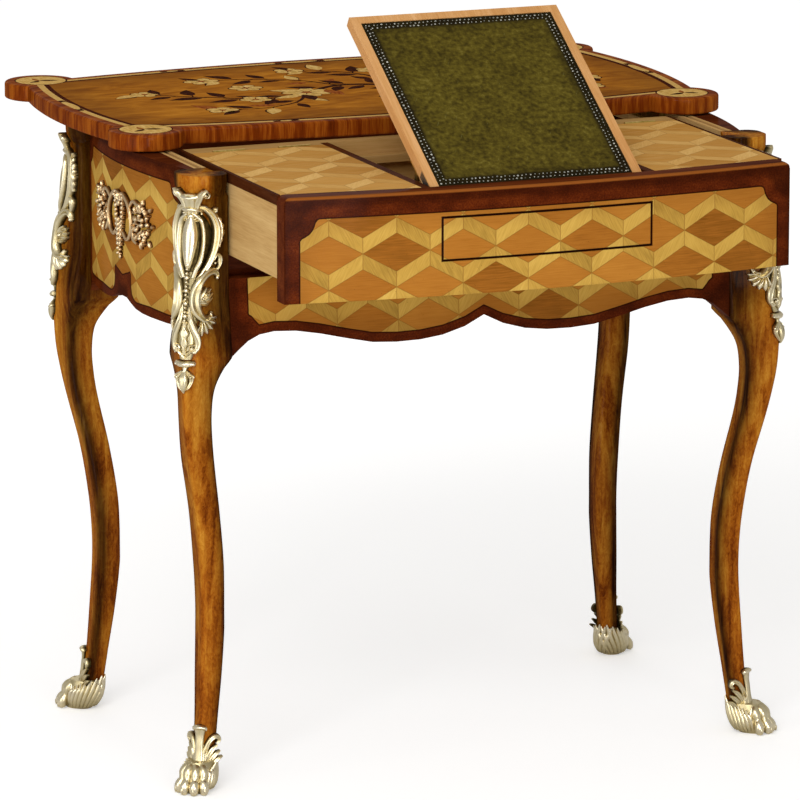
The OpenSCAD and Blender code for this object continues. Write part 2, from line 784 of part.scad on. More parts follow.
// Back of the drawer, with a rail for the lids' hinges
hinge_inset = 29;
hinge_y = drawer_back_y - hinge_inset;
hinge_z = case_top - 0.4;
hinge_gap = 0.85;
rail_front_y = hinge_y + 1.45;
rail_h = 22;
knuckle_r = 2;
hinge_from_ends = [36, 47];
hinge_xs = [well_half + partition_t + hinge_from_ends[0], drawer_half - cap_w - hinge_from_ends[1]];
hinge_len = 40;
module knuckle_recess(r) {
  for (s = [-1, 1], x = hinge_xs)
    rod_x(s * x - hinge_len / 2 - 0.5, hinge_len + 1, r, hinge_y, hinge_z);
}
module drawer_back() {
  color([0.8, 0.65, 0.43])
    on_drawer()
      difference() {
        union() {
          block([-drawer_half + side_t, drawer_back_y - back_t, side_low],
                [drawer_half - side_t, drawer_back_y, side_top]);
          block([-drawer_half + cap_w, drawer_back_y - back_t, side_top],
                [drawer_half - cap_w, drawer_back_y, case_top]);
          for (s = [0, 1])
            mirror([s, 0, 0]) {
              block([well_half + partition_t, rail_front_y, case_top - rail_h],
                    [drawer_half - side_t, drawer_back_y - back_t, side_top]);
              block([well_half + partition_t, rail_front_y, side_top],
                    [drawer_half - cap_w, drawer_back_y - back_t, case_top]);
            }
        }
        knuckle_recess(knuckle_r + 0.3);
      }
}
module drawer_bottom() {
  color([0.83, 0.69, 0.48])
    on_drawer()
      difference() {
        block([-drawer_half + side_t, -well_front_y, bottom_z],
              [drawer_half - side_t, drawer_back_y - back_t, bottom_z + bottom_t]);
        front_plan();
      }
}
module partition() {
  color([0.3, 0.14, 0.06])
    difference() {
      block([well_half, -well_front_y, bottom_z + bottom_t],
            [well_half + partition_t, drawer_back_y - back_t, case_top]);
      rod_x(well_half - 1, partition_t + 2, pivot_r + run, pivot_y, pivot_z);
    }
}
module partition_left() {
  on_drawer() left() partition();
}
module partition_right() {
  on_drawer() partition();
}
// Strip that carries the back end of the lowered slope
ledger_h = 9;
ledger_w = 18;
module well_ledger() {
  color([0.8, 0.65, 0.43])
    on_drawer()
      block([-well_half, drawer_back_y - back_t - ledger_w, pivot_z - slope_t / 2 - 0.3 - ledger_h],
            [well_half, drawer_back_y - back_t, pivot_z - slope_t / 2 - 0.3]);
}

// Lids over the side compartments, and their butt hinges
lid_gap = 0.5;
module lid() {
  color([0.75, 0.55, 0.28])
    difference() {
      block([well_half + partition_t + lid_gap, -well_front_y + lid_gap, case_top - lid_t],
            [drawer_half - cap_w - lid_gap, hinge_y - hinge_gap, case_top]);
      translate([0, lid_gap, 0]) front_plan();
      knuckle_recess(knuckle_r + 0.3);
    }
}
module lid_left() {
  on_drawer() left() lid();
}
module lid_right() {
  on_drawer() lid();
}
leaf_t = 0.5;
hinge_leaf_h = 9;
knuckle_len = hinge_len / 5;
pin_r = 0.9;
module lid_leaves() {
  color([0.85, 0.72, 0.4])
    for (x = hinge_xs)
      difference() {
        union() {
          block([x - hinge_len / 2, hinge_y - hinge_gap, hinge_z - hinge_leaf_h],
                [x + hinge_len / 2, hinge_y - hinge_gap + leaf_t, hinge_z - 0.5]);
          for (k = [-1, 1])
            rod_x(x + (k - 0.5) * knuckle_len + 0.1, knuckle_len - 0.2, knuckle_r, hinge_y, hinge_z);
        }
        for (k = [-2, 0, 2])
          rod_x(x + (k - 0.5) * knuckle_len - 0.1, knuckle_len + 0.2, knuckle_r + 0.2, hinge_y, hinge_z);
        rod_x(x - hinge_len, 2 * hinge_len, pin_r + run, hinge_y, hinge_z);
      }
}
module lid_leaves_left() {
  on_drawer() left() lid_leaves();
}
module lid_leaves_right() {
  on_drawer() lid_leaves();
}
module rail_leaf(x) {
  union() {
    difference() {
      union() {
        block([x - hinge_len / 2, rail_front_y - leaf_t, hinge_z - hinge_leaf_h],
              [x + hinge_len / 2, rail_front_y, hinge_z]);
        for (k = [-2, 0, 2])
          rod_x(x + (k - 0.5) * knuckle_len + 0.1, knuckle_len - 0.2, knuckle_r, hinge_y, hinge_z);
      }
      for (k = [-1, 1])
        rod_x(x + (k - 0.5) * knuckle_len - 0.1, knuckle_len + 0.2, knuckle_r + 0.2, hinge_y, hinge_z);
    }
    rod_x(x - hinge_len / 2 + 0.1, hinge_len - 0.2, pin_r, hinge_y, hinge_z);
  }
}
module rail_leaves() {
  color([0.85, 0.72, 0.4])
    on_drawer()
      for (s = [0, 1], x = hinge_xs)
        mirror([s, 0, 0]) rail_leaf(x);
}

// The reading slope, drawn level round its pivot and then raised
module on_slope() {
  on_drawer() translate([0, pivot_y, pivot_z]) rotate([slope_angle, 0, 0]) children();
}
toe_rail = 5;
leather_sink = 0.4;
leather_z = slope_t / 2 - leather_sink - leather_t;
module slope_frame() {
  color([0.87, 0.62, 0.33])
    on_slope()
      difference() {
        union() {
          block([-slope_half, 0, -slope_t / 2], [slope_half, slope_len, slope_t / 2]);
          rod_x(-slope_half, 2 * slope_half, slope_t / 2, 0, 0);
        }
        block([-slope_half + slope_rim, toe_rail, -slope_t],
              [slope_half - slope_rim, slope_len - slope_rim, slope_t]);
        for (s = [-1, 1])
          block([s * slope_half - pivot_plate_t - 0.01, -pivot_plate_h / 2, -pivot_plate_h / 2],
                [s * slope_half + pivot_plate_t + 0.01, pivot_plate_len, pivot_plate_h / 2]);
      }
}
module slope_board() {
  color([0.7, 0.5, 0.28])
    on_slope()
      block([-slope_half + slope_rim, toe_rail, leather_z - board_t],
            [slope_half - slope_rim, slope_len - slope_rim, leather_z]);
}
module slope_leather() {
  color([0.24, 0.24, 0.09])
    on_slope()
      block([-slope_half + slope_rim, toe_rail, leather_z],
            [slope_half - slope_rim, slope_len - slope_rim, leather_z + leather_t]);
}
// Pivot plates let into the frame's sides, with pins into the partitions
pivot_plate_t = 1.5;
pivot_plate_h = 10;
pivot_plate_len = 34;
module slope_pivots() {
  color([0.75, 0.73, 0.68])
    on_slope()
      for (s = [0, 1])
        mirror([s, 0, 0])
          union() {
            block([slope_half - pivot_plate_t, -pivot_plate_h / 2, -pivot_plate_h / 2],
                  [slope_half, pivot_plate_len, pivot_plate_h / 2]);
            rod_x(slope_half - 0.5, well_half - slope_half + 7, pivot_r, 0, 0);
          }
}
// Curved stays under the slope that slide through guides on the partitions
stay_w = 8;
stay_inset = 7;
stay_x = slope_half - stay_inset;
stay_t = 3;
stay_foot = 2;
stay_foot_rim = 10;
stay_cheek = 4;
stay_end = 75;
module stay_sector(r_out, r_in) {
  intersection() {
    difference() {
      circle(r = r_out, $fn = 96);
      circle(r = r_in, $fn = 96);
    }
    polygon([[0, 0], polar(2 * r_out, -stay_end), [2 * r_out, -3 * r_out], [2 * r_out, 0]]);
  }
}
module slope_stays() {
  color([0.8, 0.68, 0.35])
    on_slope()
      for (s = [0, 1])
        mirror([s, 0, 0])
          union() {
            block([stay_x - stay_cheek, stay_r - stay_w - stay_foot_rim, -slope_t / 2 - stay_foot],
                  [stay_x + stay_t + stay_cheek, stay_r + stay_foot_rim, -slope_t / 2]);
            intersection() {
              along_x(stay_x, stay_t) stay_sector(stay_r, stay_r - stay_w);
              block([0, 0, -2 * stay_r], [2 * slope_half, 2 * stay_r, -slope_t / 2 - stay_foot / 2]);
            }
          }
}
stay_guide_h = 11;
stay_guide_z = pivot_z - slope_t / 2 - stay_foot - 2.5 - stay_guide_h;
module stay_guides() {
  color([0.8, 0.68, 0.35])
    on_drawer()
      for (s = [0, 1])
        mirror([s, 0, 0])
          difference() {
            block([stay_x - stay_cheek, pivot_y + stay_r - stay_w - 1.5 * stay_cheek, stay_guide_z],
                  [well_half, pivot_y + stay_r + stay_cheek, stay_guide_z + stay_guide_h]);
            translate([0, pivot_y, pivot_z])
              along_x(stay_x - slide, stay_t + 2 * slide)
                difference() {
                  circle(r = stay_r + slide, $fn = 96);
                  circle(r = stay_r - stay_w - slide, $fn = 96);
                }
          }
}

// The small drawer in the middle of the drawer front
pen_box_half = stay_x - 1.5 * stay_cheek;
pen_wall = 7;
pen_floor = 5;
pen_low = 12;
pen_open = pen_h - pen_low;
pen_runner_w = 10;
pen_runner_more = 20;
pen_play = 0.3;
pen_fence = 8;
module pen_drawer_front() {
  color([0.7, 0.48, 0.22])
    on_drawer()
      intersection() {
        block([-pen_half, -front_y - front_bulge - 1, pen_z], [pen_half, -well_front_y, pen_z + pen_h]);
        front_plan();
      }
}
module pen_drawer_box() {
  color([0.83, 0.69, 0.48])
    on_drawer()
      difference() {
        block([-pen_box_half, -well_front_y, pen_z + 1],
              [pen_box_half, -well_front_y + pen_len, pen_z + pen_open]);
        block([-pen_box_half + pen_wall, -well_front_y + 1, pen_z + 1 + pen_floor],
              [pen_box_half - pen_wall, -well_front_y + pen_len - pen_wall, pen_z + pen_h]);
      }
}
module pen_drawer_runners() {
  color([0.78, 0.6, 0.38])
    on_drawer()
      for (s = [0, 1])
        mirror([s, 0, 0])
          union() {
            block([pen_box_half - pen_runner_w, -well_front_y, bottom_z + bottom_t],
                  [well_half, -well_front_y + pen_len + pen_runner_more, pen_z + 1 - pen_play]);
            block([pen_box_half + slide, -well_front_y, pen_z + 1 - pen_play],
                  [well_half, -well_front_y + pen_len + pen_runner_more, pen_z + pen_fence]);
          }
}

leg_front_left();
leg_front_right();
leg_back_left();
leg_back_right();
sabot_front_left();
sabot_front_right();
sabot_back_left();
sabot_back_right();
knee_mount_front_left();
knee_mount_front_right();
knee_mount_back_left();
knee_mount_back_right();
side_panel_left();
side_panel_right();
side_mount_left();
side_mount_right();
front_apron();
front_rail();
back_panel();
runner_left();
runner_right();
top_guide_left();
top_guide_right();
pinion_bracket_left();
pinion_bracket_right();
top_board();
top_banding();
top_marquetry();
top_batten_left();
top_batten_right();
top_rack_left();
top_rack_right();
pinion_left();
pinion_right();
drawer_front();
drawer_side_left();
drawer_side_right();
drawer_caps();
drawer_back();
drawer_bottom();
partition_left();
partition_right();
well_ledger();
drawer_rack_left();
drawer_rack_right();
stay_guides();
pen_drawer_runners();
lid_left();
lid_right();
lid_leaves_left();
lid_leaves_right();
rail_leaves();
slope_frame();
slope_board();
slope_leather();
slope_pivots();
slope_stays();
pen_drawer_front();
pen_drawer_box();
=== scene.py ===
import bpy
import math
import numpy as np
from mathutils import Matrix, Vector
from mathutils.geometry import delaunay_2d_cdt


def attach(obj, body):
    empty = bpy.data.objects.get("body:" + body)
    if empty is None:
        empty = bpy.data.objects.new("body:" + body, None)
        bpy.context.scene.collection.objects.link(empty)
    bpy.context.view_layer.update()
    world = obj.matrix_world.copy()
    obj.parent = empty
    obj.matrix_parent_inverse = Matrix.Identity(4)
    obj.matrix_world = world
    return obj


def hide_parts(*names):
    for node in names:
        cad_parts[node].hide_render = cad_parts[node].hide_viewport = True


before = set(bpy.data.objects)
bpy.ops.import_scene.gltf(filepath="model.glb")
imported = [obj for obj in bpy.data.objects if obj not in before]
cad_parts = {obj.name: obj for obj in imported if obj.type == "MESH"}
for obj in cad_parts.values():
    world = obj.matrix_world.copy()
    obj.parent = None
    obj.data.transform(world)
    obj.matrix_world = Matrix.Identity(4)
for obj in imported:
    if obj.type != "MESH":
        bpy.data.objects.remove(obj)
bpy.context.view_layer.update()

# Everything below is drawn in millimetres and laid into the meshes in metres.
MM = 0.001
# Where the case, the open drawer and the open top stand along Y, from their own centres
TABLE, DRAWER, TOP = 1.25, -171.75, 174.25
# The legs' axes, from the case's middle
LEG_X, LEG_Y = 342.0, 193.0
# Heights of the knee, the case's top, the writing surface and the cast feet
KNEE, CASE_TOP, TABLE_H = 514.0, 728.0, 750.0
FEET_TOP = 36.0
# The posts' inner faces, from the leg's axis, and the height at which their round heads begin
POST_IN, POST_HEAD = 27.0, 700.0
# How far the side arrises stand in from the outer corner at the knee, and the leg's corner radius
ARRIS_IN, LEG_ROUND = 5.5, 5.5
# The reading slope's pivot and its tilt at rest
SLOPE_PIVOT = (0, DRAWER - 198.63, 718.2)
SLOPE_TILT = math.radians(32.5)
PI = math.pi
random = np.random.default_rng(1765)


class Solid:
    """Skins of one piece, gathered part by part: points, faces, marks on points, a finish number per face."""

    def __init__(self):
        self.points, self.faces, self.numbers, self.marks, self.count = [], [], [], [], 0

    def add(self, points, faces, number=0, **marks):
        """Adds groups of faces; number is one finish for all of them, or one for each group."""
        points = np.asarray(points, float).reshape(-1, 3)
        for group, own in zip(faces, np.broadcast_to(number, len(faces))):
            if len(group):
                self.faces.append(np.asarray(group) + self.count)
                self.numbers.append(np.full(len(group), own))
        self.marks.append((len(points), marks))
        self.points.append(points)
        self.count += len(points)

    def mesh(self, name):
        """The Blender mesh, with its marks as point attributes."""
        points = (np.concatenate(self.points) * MM).astype(np.float32)
        mesh = bpy.data.meshes.new(name)
        mesh.vertices.add(len(points))
        mesh.vertices.foreach_set("co", points.ravel())
        corners = np.concatenate([f.ravel() for f in self.faces]).astype(np.int32)
        sizes = np.concatenate([np.full(len(f), f.shape[1]) for f in self.faces])
        starts = np.r_[0, np.cumsum(sizes)[:-1]].astype(np.int32)
        mesh.loops.add(len(corners))
        mesh.loops.foreach_set("vertex_index", corners)
        mesh.polygons.add(len(sizes))
        mesh.polygons.foreach_set("loop_start", starts)
        mesh.polygons.foreach_set("material_index", np.concatenate(self.numbers).astype(np.int32))
        mesh.polygons.foreach_set("use_smooth", np.ones(len(sizes), bool))
        mesh.update(calc_edges=True)
        names = sorted({key for _, marks in self.marks for key in marks})
        for key in names:
            wide = any(np.ndim(m[key]) == 2 for _, m in self.marks if key in m)
            values = [
                np.asarray(m[key], float) if key in m else np.zeros((n, 3) if wide else n)
                for n, m in self.marks]
            slot = mesh.attributes.new(key, "FLOAT_VECTOR" if wide else "FLOAT", "POINT")
            flat = np.concatenate(values).astype(np.float32).ravel()
            slot.data.foreach_set("vector" if wide else "value", flat)
        return mesh


def put(name, data):
    """Puts a new object in the scene."""
    made = bpy.data.objects.new(name, data)
    bpy.context.scene.collection.objects.link(made)
    return made


def finish_piece(solid, name, body, finishes, replaces=None, crease=35):
    """Makes the piece's object, with smooth faces that break at edges sharper than the crease."""
    mesh = solid.mesh(name)
    mesh.validate()
    mesh.set_sharp_from_angle(angle=math.radians(crease))
    piece = put(name, mesh)
    for finish in finishes if isinstance(finishes, list) else [finishes]:
        mesh.materials.append(finish)
    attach(piece, body)
    if replaces:
        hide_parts(replaces)
    return piece


def outwards(points, faces):
    """Faces turned round where the solid that they close has a negative volume."""
    volume = 0.0
    middle = points.mean(0)
    for group in faces:
        corner = points[group] - middle
        for k in range(1, group.shape[1] - 1):
            volume += np.einsum("ij,ij->", corner[:, 0], np.cross(corner[:, k], corner[:, k + 1]))
    return faces if volume > 0 else [group[:, ::-1] for group in faces]


def grid_faces(rows, cols, round_rows=False, round_cols=False):
    """Quads over a grid of points, joined up where it runs round."""
    i, j = np.meshgrid(
        np.arange(rows if round_rows else rows - 1),
        np.arange(cols if round_cols else cols - 1), indexing="ij")
    k, l = (i + 1) % rows, (j + 1) % cols
    return np.stack([i * cols + j, i * cols + l, k * cols + l, k * cols + j], -1).reshape(-1, 4)


def skin(rings):
    """Closed skin through rings of points, (rings, points, 3), with a middle point at each end."""
    rows, cols, _ = rings.shape
    points = np.concatenate([rings.reshape(-1, 3), rings[:1].mean(1), rings[-1:].mean(1)])
    j = np.arange(cols)
    k, end = (j + 1) % cols, rows * cols
    low = np.stack([np.full(cols, end), k, j], -1)
    high = np.stack([np.full(cols, end + 1), end - cols + j, end - cols + k], -1)
    return points, [grid_faces(rows, cols, False, True), np.concatenate([low, high])]


def slab(outer, inner, keep=None):
    """Closed board between two grids of points; cells that keep leaves out are holes with walls.
    Returns points, outer faces, inner and wall faces."""
    rows, cols, _ = outer.shape
    if keep is None:
        keep = np.ones((rows - 1, cols - 1), bool)
    faces = grid_faces(rows, cols)[keep.ravel()]
    back = faces[:, ::-1] + rows * cols
    edges = np.concatenate([faces[:, [k, (k + 1) % 4]] for k in range(4)])
    key = edges[:, 0] * rows * cols + edges[:, 1]
    free = edges[~np.isin(key, edges[:, 1] * rows * cols + edges[:, 0])]
    walls = np.stack([free[:, 1], free[:, 0], free[:, 0] + rows * cols, free[:, 1] + rows * cols], -1)
    points = np.concatenate([outer.reshape(-1, 3), inner.reshape(-1, 3)])
    front, rest = [faces], [np.concatenate([back, walls])]
    if outwards(points, front + rest)[0] is not front[0]:
        front, rest = [faces[:, ::-1]], [rest[0][:, ::-1]]
    return points, front, rest


def hermite(t, knots, values):
    """Smooth curve through values at knots, its slope at each the slope between its neighbours."""
    knots = np.asarray(knots, float)
    values = np.asarray(values, float)
    n = len(knots)
    a, b = np.maximum(np.arange(n) - 1, 0), np.minimum(np.arange(n) + 1, n - 1)
    wide = values.ndim == 2
    gap = (knots[b] - knots[a])[:, None] if wide else knots[b] - knots[a]
    rate = (values[b] - values[a]) / gap
    i = np.clip(np.searchsorted(knots, t, side="left") - 1, 0, n - 2)
    h = knots[i + 1] - knots[i]
    f = (t - knots[i]) / h
    if wide:
        h, f = h[:, None], f[:, None]
    return ((2 * f**3 - 3 * f**2 + 1) * values[i] + (f**3 - 2 * f**2 + f) * h * rate[i]
            + (3 * f**2 - 2 * f**3) * values[i + 1] + (f**3 - f**2) * h * rate[i + 1])


def length_along(line):
    """The way from a line's first point to each of its points."""
    return np.r_[0, np.cumsum(np.linalg.norm(np.diff(line, axis=0), axis=1))]


def flow(knots, count):
    """Points evenly spaced along a smooth curve through knots; its first two numbers give its way."""
    knots = np.asarray(knots, float)
    chord = length_along(knots[:, :2])
    return hermite(np.linspace(0, chord[-1], count), chord, knots)


def eased(x, low, high):
    """0 below low, 1 above high, and smooth between."""
    t = np.clip((x - low) / (high - low), 0, 1)
    return t * t * (3 - 2 * t)


# Legs: [share of the free leg's height, inner offset, outer offset], and for the posts
# [height above the knee, inner, outer]
LEG_STATIONS = [
    [0, 10, 12], [0.09, 15.2, 8], [0.2, 21.8, 4.8], [0.32, 26.9, 1.9], [0.4, 27, 2],
    [0.49, 25.3, 4.8], [0.615, 17.8, 12.4], [0.74, 7.4, 24.4], [0.8, 3.8, 29.6],
    [0.866, 2.4, 34], [0.93, 6.5, 35.7], [0.985, 20, 36]]
POST_STATIONS = [
    [0, 27, 36], [34, 27, 34.5], [72, 27, 31], [115, 27, 25], [138, 27, 21], [166, 27, 19],
    [184, 27, 20], [196, 27, 25.5], [202, 27, 27], [214, 27, 27]]
STATIONS = np.array(
    [[FEET_TOP + s * (KNEE - FEET_TOP), a, b] for s, a, b in LEG_STATIONS]
    + [[KNEE + h, a, b] for h, a, b in POST_STATIONS])


def leg_out(z):
    """How far the outer faces stand from the leg's axis at a height: a smooth curve through STATIONS."""
    return hermite(np.asarray(z, float), STATIONS[:, 0], STATIONS[:, 2])


def leg_in(z):
    """The same for the inner faces, which are upright on the post."""
    z = np.asarray(z, float)
    return np.where(z >= KNEE, POST_IN, np.minimum(hermite(z, STATIONS[:, 0], STATIONS[:, 1]), POST_IN))


def side_out(z):
    """Offset of the side arrises: a little inside the outer corner's at the knee, and upright on the post,
    while the outer corner leans out."""
    z = np.asarray(z, float)
    b = leg_out(z)
    waist, knee = 20, leg_out(KNEE) - ARRIS_IN
    upright = np.minimum(b, waist + (knee - waist) * (1 - eased(z, KNEE, KNEE + 76)))
    below = b - ARRIS_IN * eased(z, KNEE - 130, KNEE - 30)
    return np.where(z <= KNEE, below, upright + (b - upright) * eased(z, POST_HEAD, POST_HEAD + 6))


def outer_round(z):
    """Radius of the section's outer corner: small on the leg, half the offset on the post, round at
    its head."""
    share = 0.5 + 0.48 * eased(z, POST_HEAD, POST_HEAD + 8)
    below = LEG_ROUND + (leg_out(z) * 0.5 - LEG_ROUND) * eased(z, KNEE - 30, KNEE)
    return np.where(z > KNEE, leg_out(z) * share, below)


def corner(s, z, lift):
    """Point at distance s round the outer corner of the back right leg's section, from its diagonal,
    lifted off the surface: along one flat, round the arc, along the other flat. The flats lean in
    towards the side arrises."""
    b, o = leg_out(z), outer_round(z)
    c, q = b - o, PI * o / 4
    lean = (b - side_out(z)) / (leg_in(z) + c - 3)
    t = s + q
    a = np.clip(t / (2 * q), 0, 1) * PI / 2
    before, after = np.minimum(t, 0), np.maximum(t - 2 * q, 0)
    x = c + (o + lift) * np.cos(a) - after + lean * before
    y = c + (o + lift) * np.sin(a) + before - lean * after
    return x, y


def mirrored(points, side, end):
    """Points of the back right leg's place, from its axis, moved to a corner of the table."""
    x, y, z = points[..., 0], points[..., 1], points[..., 2]
    return np.stack([side * (LEG_X + x), end * (LEG_Y + y) + TABLE, z], -1)


def on_corner(flat, side, end):
    """Flat ornament [across, height above the knee, lift] laid round the outer corner of a leg."""
    z = KNEE + flat[..., 1]
    x, y = corner(flat[..., 0], z, flat[..., 2])
    return mirrored(np.stack([x, y, z], -1), side, end)


# Half the side panels' length, how far their ends stand outside the legs' axes, and their bow
PANEL_HALF, PANEL_END, PANEL_BOW = 166, 8, 19


def panel_x(y):
    """How far the bowed side panel stands from the middle: a parabola in plan."""
    return LEG_X + PANEL_END + PANEL_BOW * (1 - (y / PANEL_HALF) ** 2)


def on_panel(flat, side):
    """Flat ornament [across, height, lift] laid on a side panel."""
    y, z = flat[..., 0], flat[..., 1]
    return np.stack([side * (panel_x(y) + flat[..., 2]), y + TABLE, z], -1)


def leg_rings(levels, grow=0.0):
    """Sections of the back right leg: four arcs joined by flats, and the edge mark that darkens its side
    arrises with a dark glaze and with painted shade where the faces turn away from the light; the inner
    corner gets a little painted shade too. The mark rises over the flat that leads to an arris, and falls
    over the one that leaves it."""
    z = levels[:, None]
    a, b, f = leg_in(z) + grow, leg_out(z) + grow, side_out(z) + grow
    o = outer_round(z) + 0 * z
    post_round = 3 + 13 * eased(z, POST_HEAD, POST_HEAD + 8)
    s = np.where(z > POST_HEAD + 2, post_round, np.where(z > KNEE, 3.0, 5 - 2 * eased(z, KNEE - 20, KNEE)))
    n = 4 - 3 * eased(z, KNEE - 40, KNEE - 20)
    arcs = []
    for cx, cy, r, first, count in ((b - o, b - o, o, 0, 12), (-a + s, f - s, s, 90, 7),
                                    (-a + n, -a + n, n, 180, 4), (f - s, -a + s, s, 270, 7)):
        angle = np.radians(first + np.linspace(0, 90, count))
        arcs.append((cx + r * np.cos(angle), cy + r * np.sin(angle)))
    wide = eased(z, KNEE - 60, KNEE + 40)
    power, start = 2.2 - 1.6 * wide, 0.5 + 0.45 * wide
    rise = start + (1 - start) * np.linspace(0, 1, 7)
    # Edge mark: 0 on the outer corner, rising to the side arrises (dark glaze and painted shade), 0.2 of
    # painted shade on the inner corner
    edge = [np.zeros((len(z), 12)), rise, np.full((len(z), 4), 0.2), rise[:, ::-1]]
    share = np.linspace(0, 1, 8)[1:-1]
    xs, ys, marks = [], [], []
    for k, (x, y) in enumerate(arcs):
        after = (k + 1) % 4
        next_x, next_y = arcs[after]
        xs += [x, x[:, -1:] + (next_x[:, :1] - x[:, -1:]) * share]
        ys += [y, y[:, -1:] + (next_y[:, :1] - y[:, -1:]) * share]
        here, there = edge[k][:, -1:], edge[after][:, :1]
        if after in (0, 2):
            flat = there + (here - there) * (1 - share) ** power
        else:
            flat = here + (there - here) * share ** power
        marks += [edge[k], flat]
    x, y = np.concatenate(xs, 1), np.concatenate(ys, 1)
    return np.stack([x, y, z + 0 * x], -1), np.concatenate(marks, 1)


# Channels that let the racks pass, cut in the posts' inner corners
CHANNELS = [((314, 165, 661), (325.5, 191.5, 677)), ((314, 165, 709), (325.5, 191.5, 729))]


def box_points(low, high):
    """The eight corners of an upright box."""
    return np.array([[(low, high)[i >> k & 1][k] for k in range(3)] for i in range(8)], float)


BOX_FACES = np.array([[0, 2, 3, 1], [4, 5, 7, 6], [0, 1, 5, 4], [2, 6, 7, 3], [0, 4, 6, 2], [1, 3, 7, 5]])


def cut_away(piece, cutter):
    """Cuts the cutter's mesh out of the piece for good."""
    tool = put("cutter", cutter)
    cut = piece.modifiers.new("cut", "BOOLEAN")
    cut.operation, cut.solver, cut.object = "DIFFERENCE", "EXACT", tool
    graph = bpy.context.evaluated_depsgraph_get()
    made = bpy.data.meshes.new_from_object(
        piece.evaluated_get(graph), preserve_all_data_layers=True, depsgraph=graph)
    piece.modifiers.clear()
    piece.data = made
    bpy.data.objects.remove(tool)


CORNERS = {"front_left": (-1, -1), "front_right": (1, -1), "back_left": (-1, 1), "back_right": (1, 1)}


def make_legs(finish):
    """The four legs with their posts: sections stacked along their curve, less the racks' channels."""
    levels = np.r_[np.linspace(FEET_TOP, KNEE - 10, 90), np.linspace(KNEE - 4, POST_HEAD, 40),
                   np.linspace(POST_HEAD + 2, POST_HEAD + 10, 6), np.linspace(POST_HEAD + 13, CASE_TOP, 5)]
    rings, edge = leg_rings(levels)
    low_points, low_faces = skin(rings)
    # The edge mark on every point, the ends' middles included: dark arris glaze and painted shade for the
    # leg's finish
    mark = np.r_[edge.ravel(), 0.5, 0.1]
    for name, (side, end) in CORNERS.items():
        solid = Solid()
        points = mirrored(low_points, side, end)
        solid.add(points, outwards(points, low_faces), edge=mark)
        piece = finish_piece(solid, "leg_" + name + "_wood", "case", finish, "leg_" + name)
        cutter = Solid()
        for low, high in CHANNELS:
            ends = box_points(low, high) * [side, end, 1] + [0, TABLE, 0]
            cutter.add(ends, outwards(ends, [BOX_FACES]))
        cut_away(piece, cutter.mesh("channels"))


# How far cast work reaches into what carries it
SUNK = 0.6


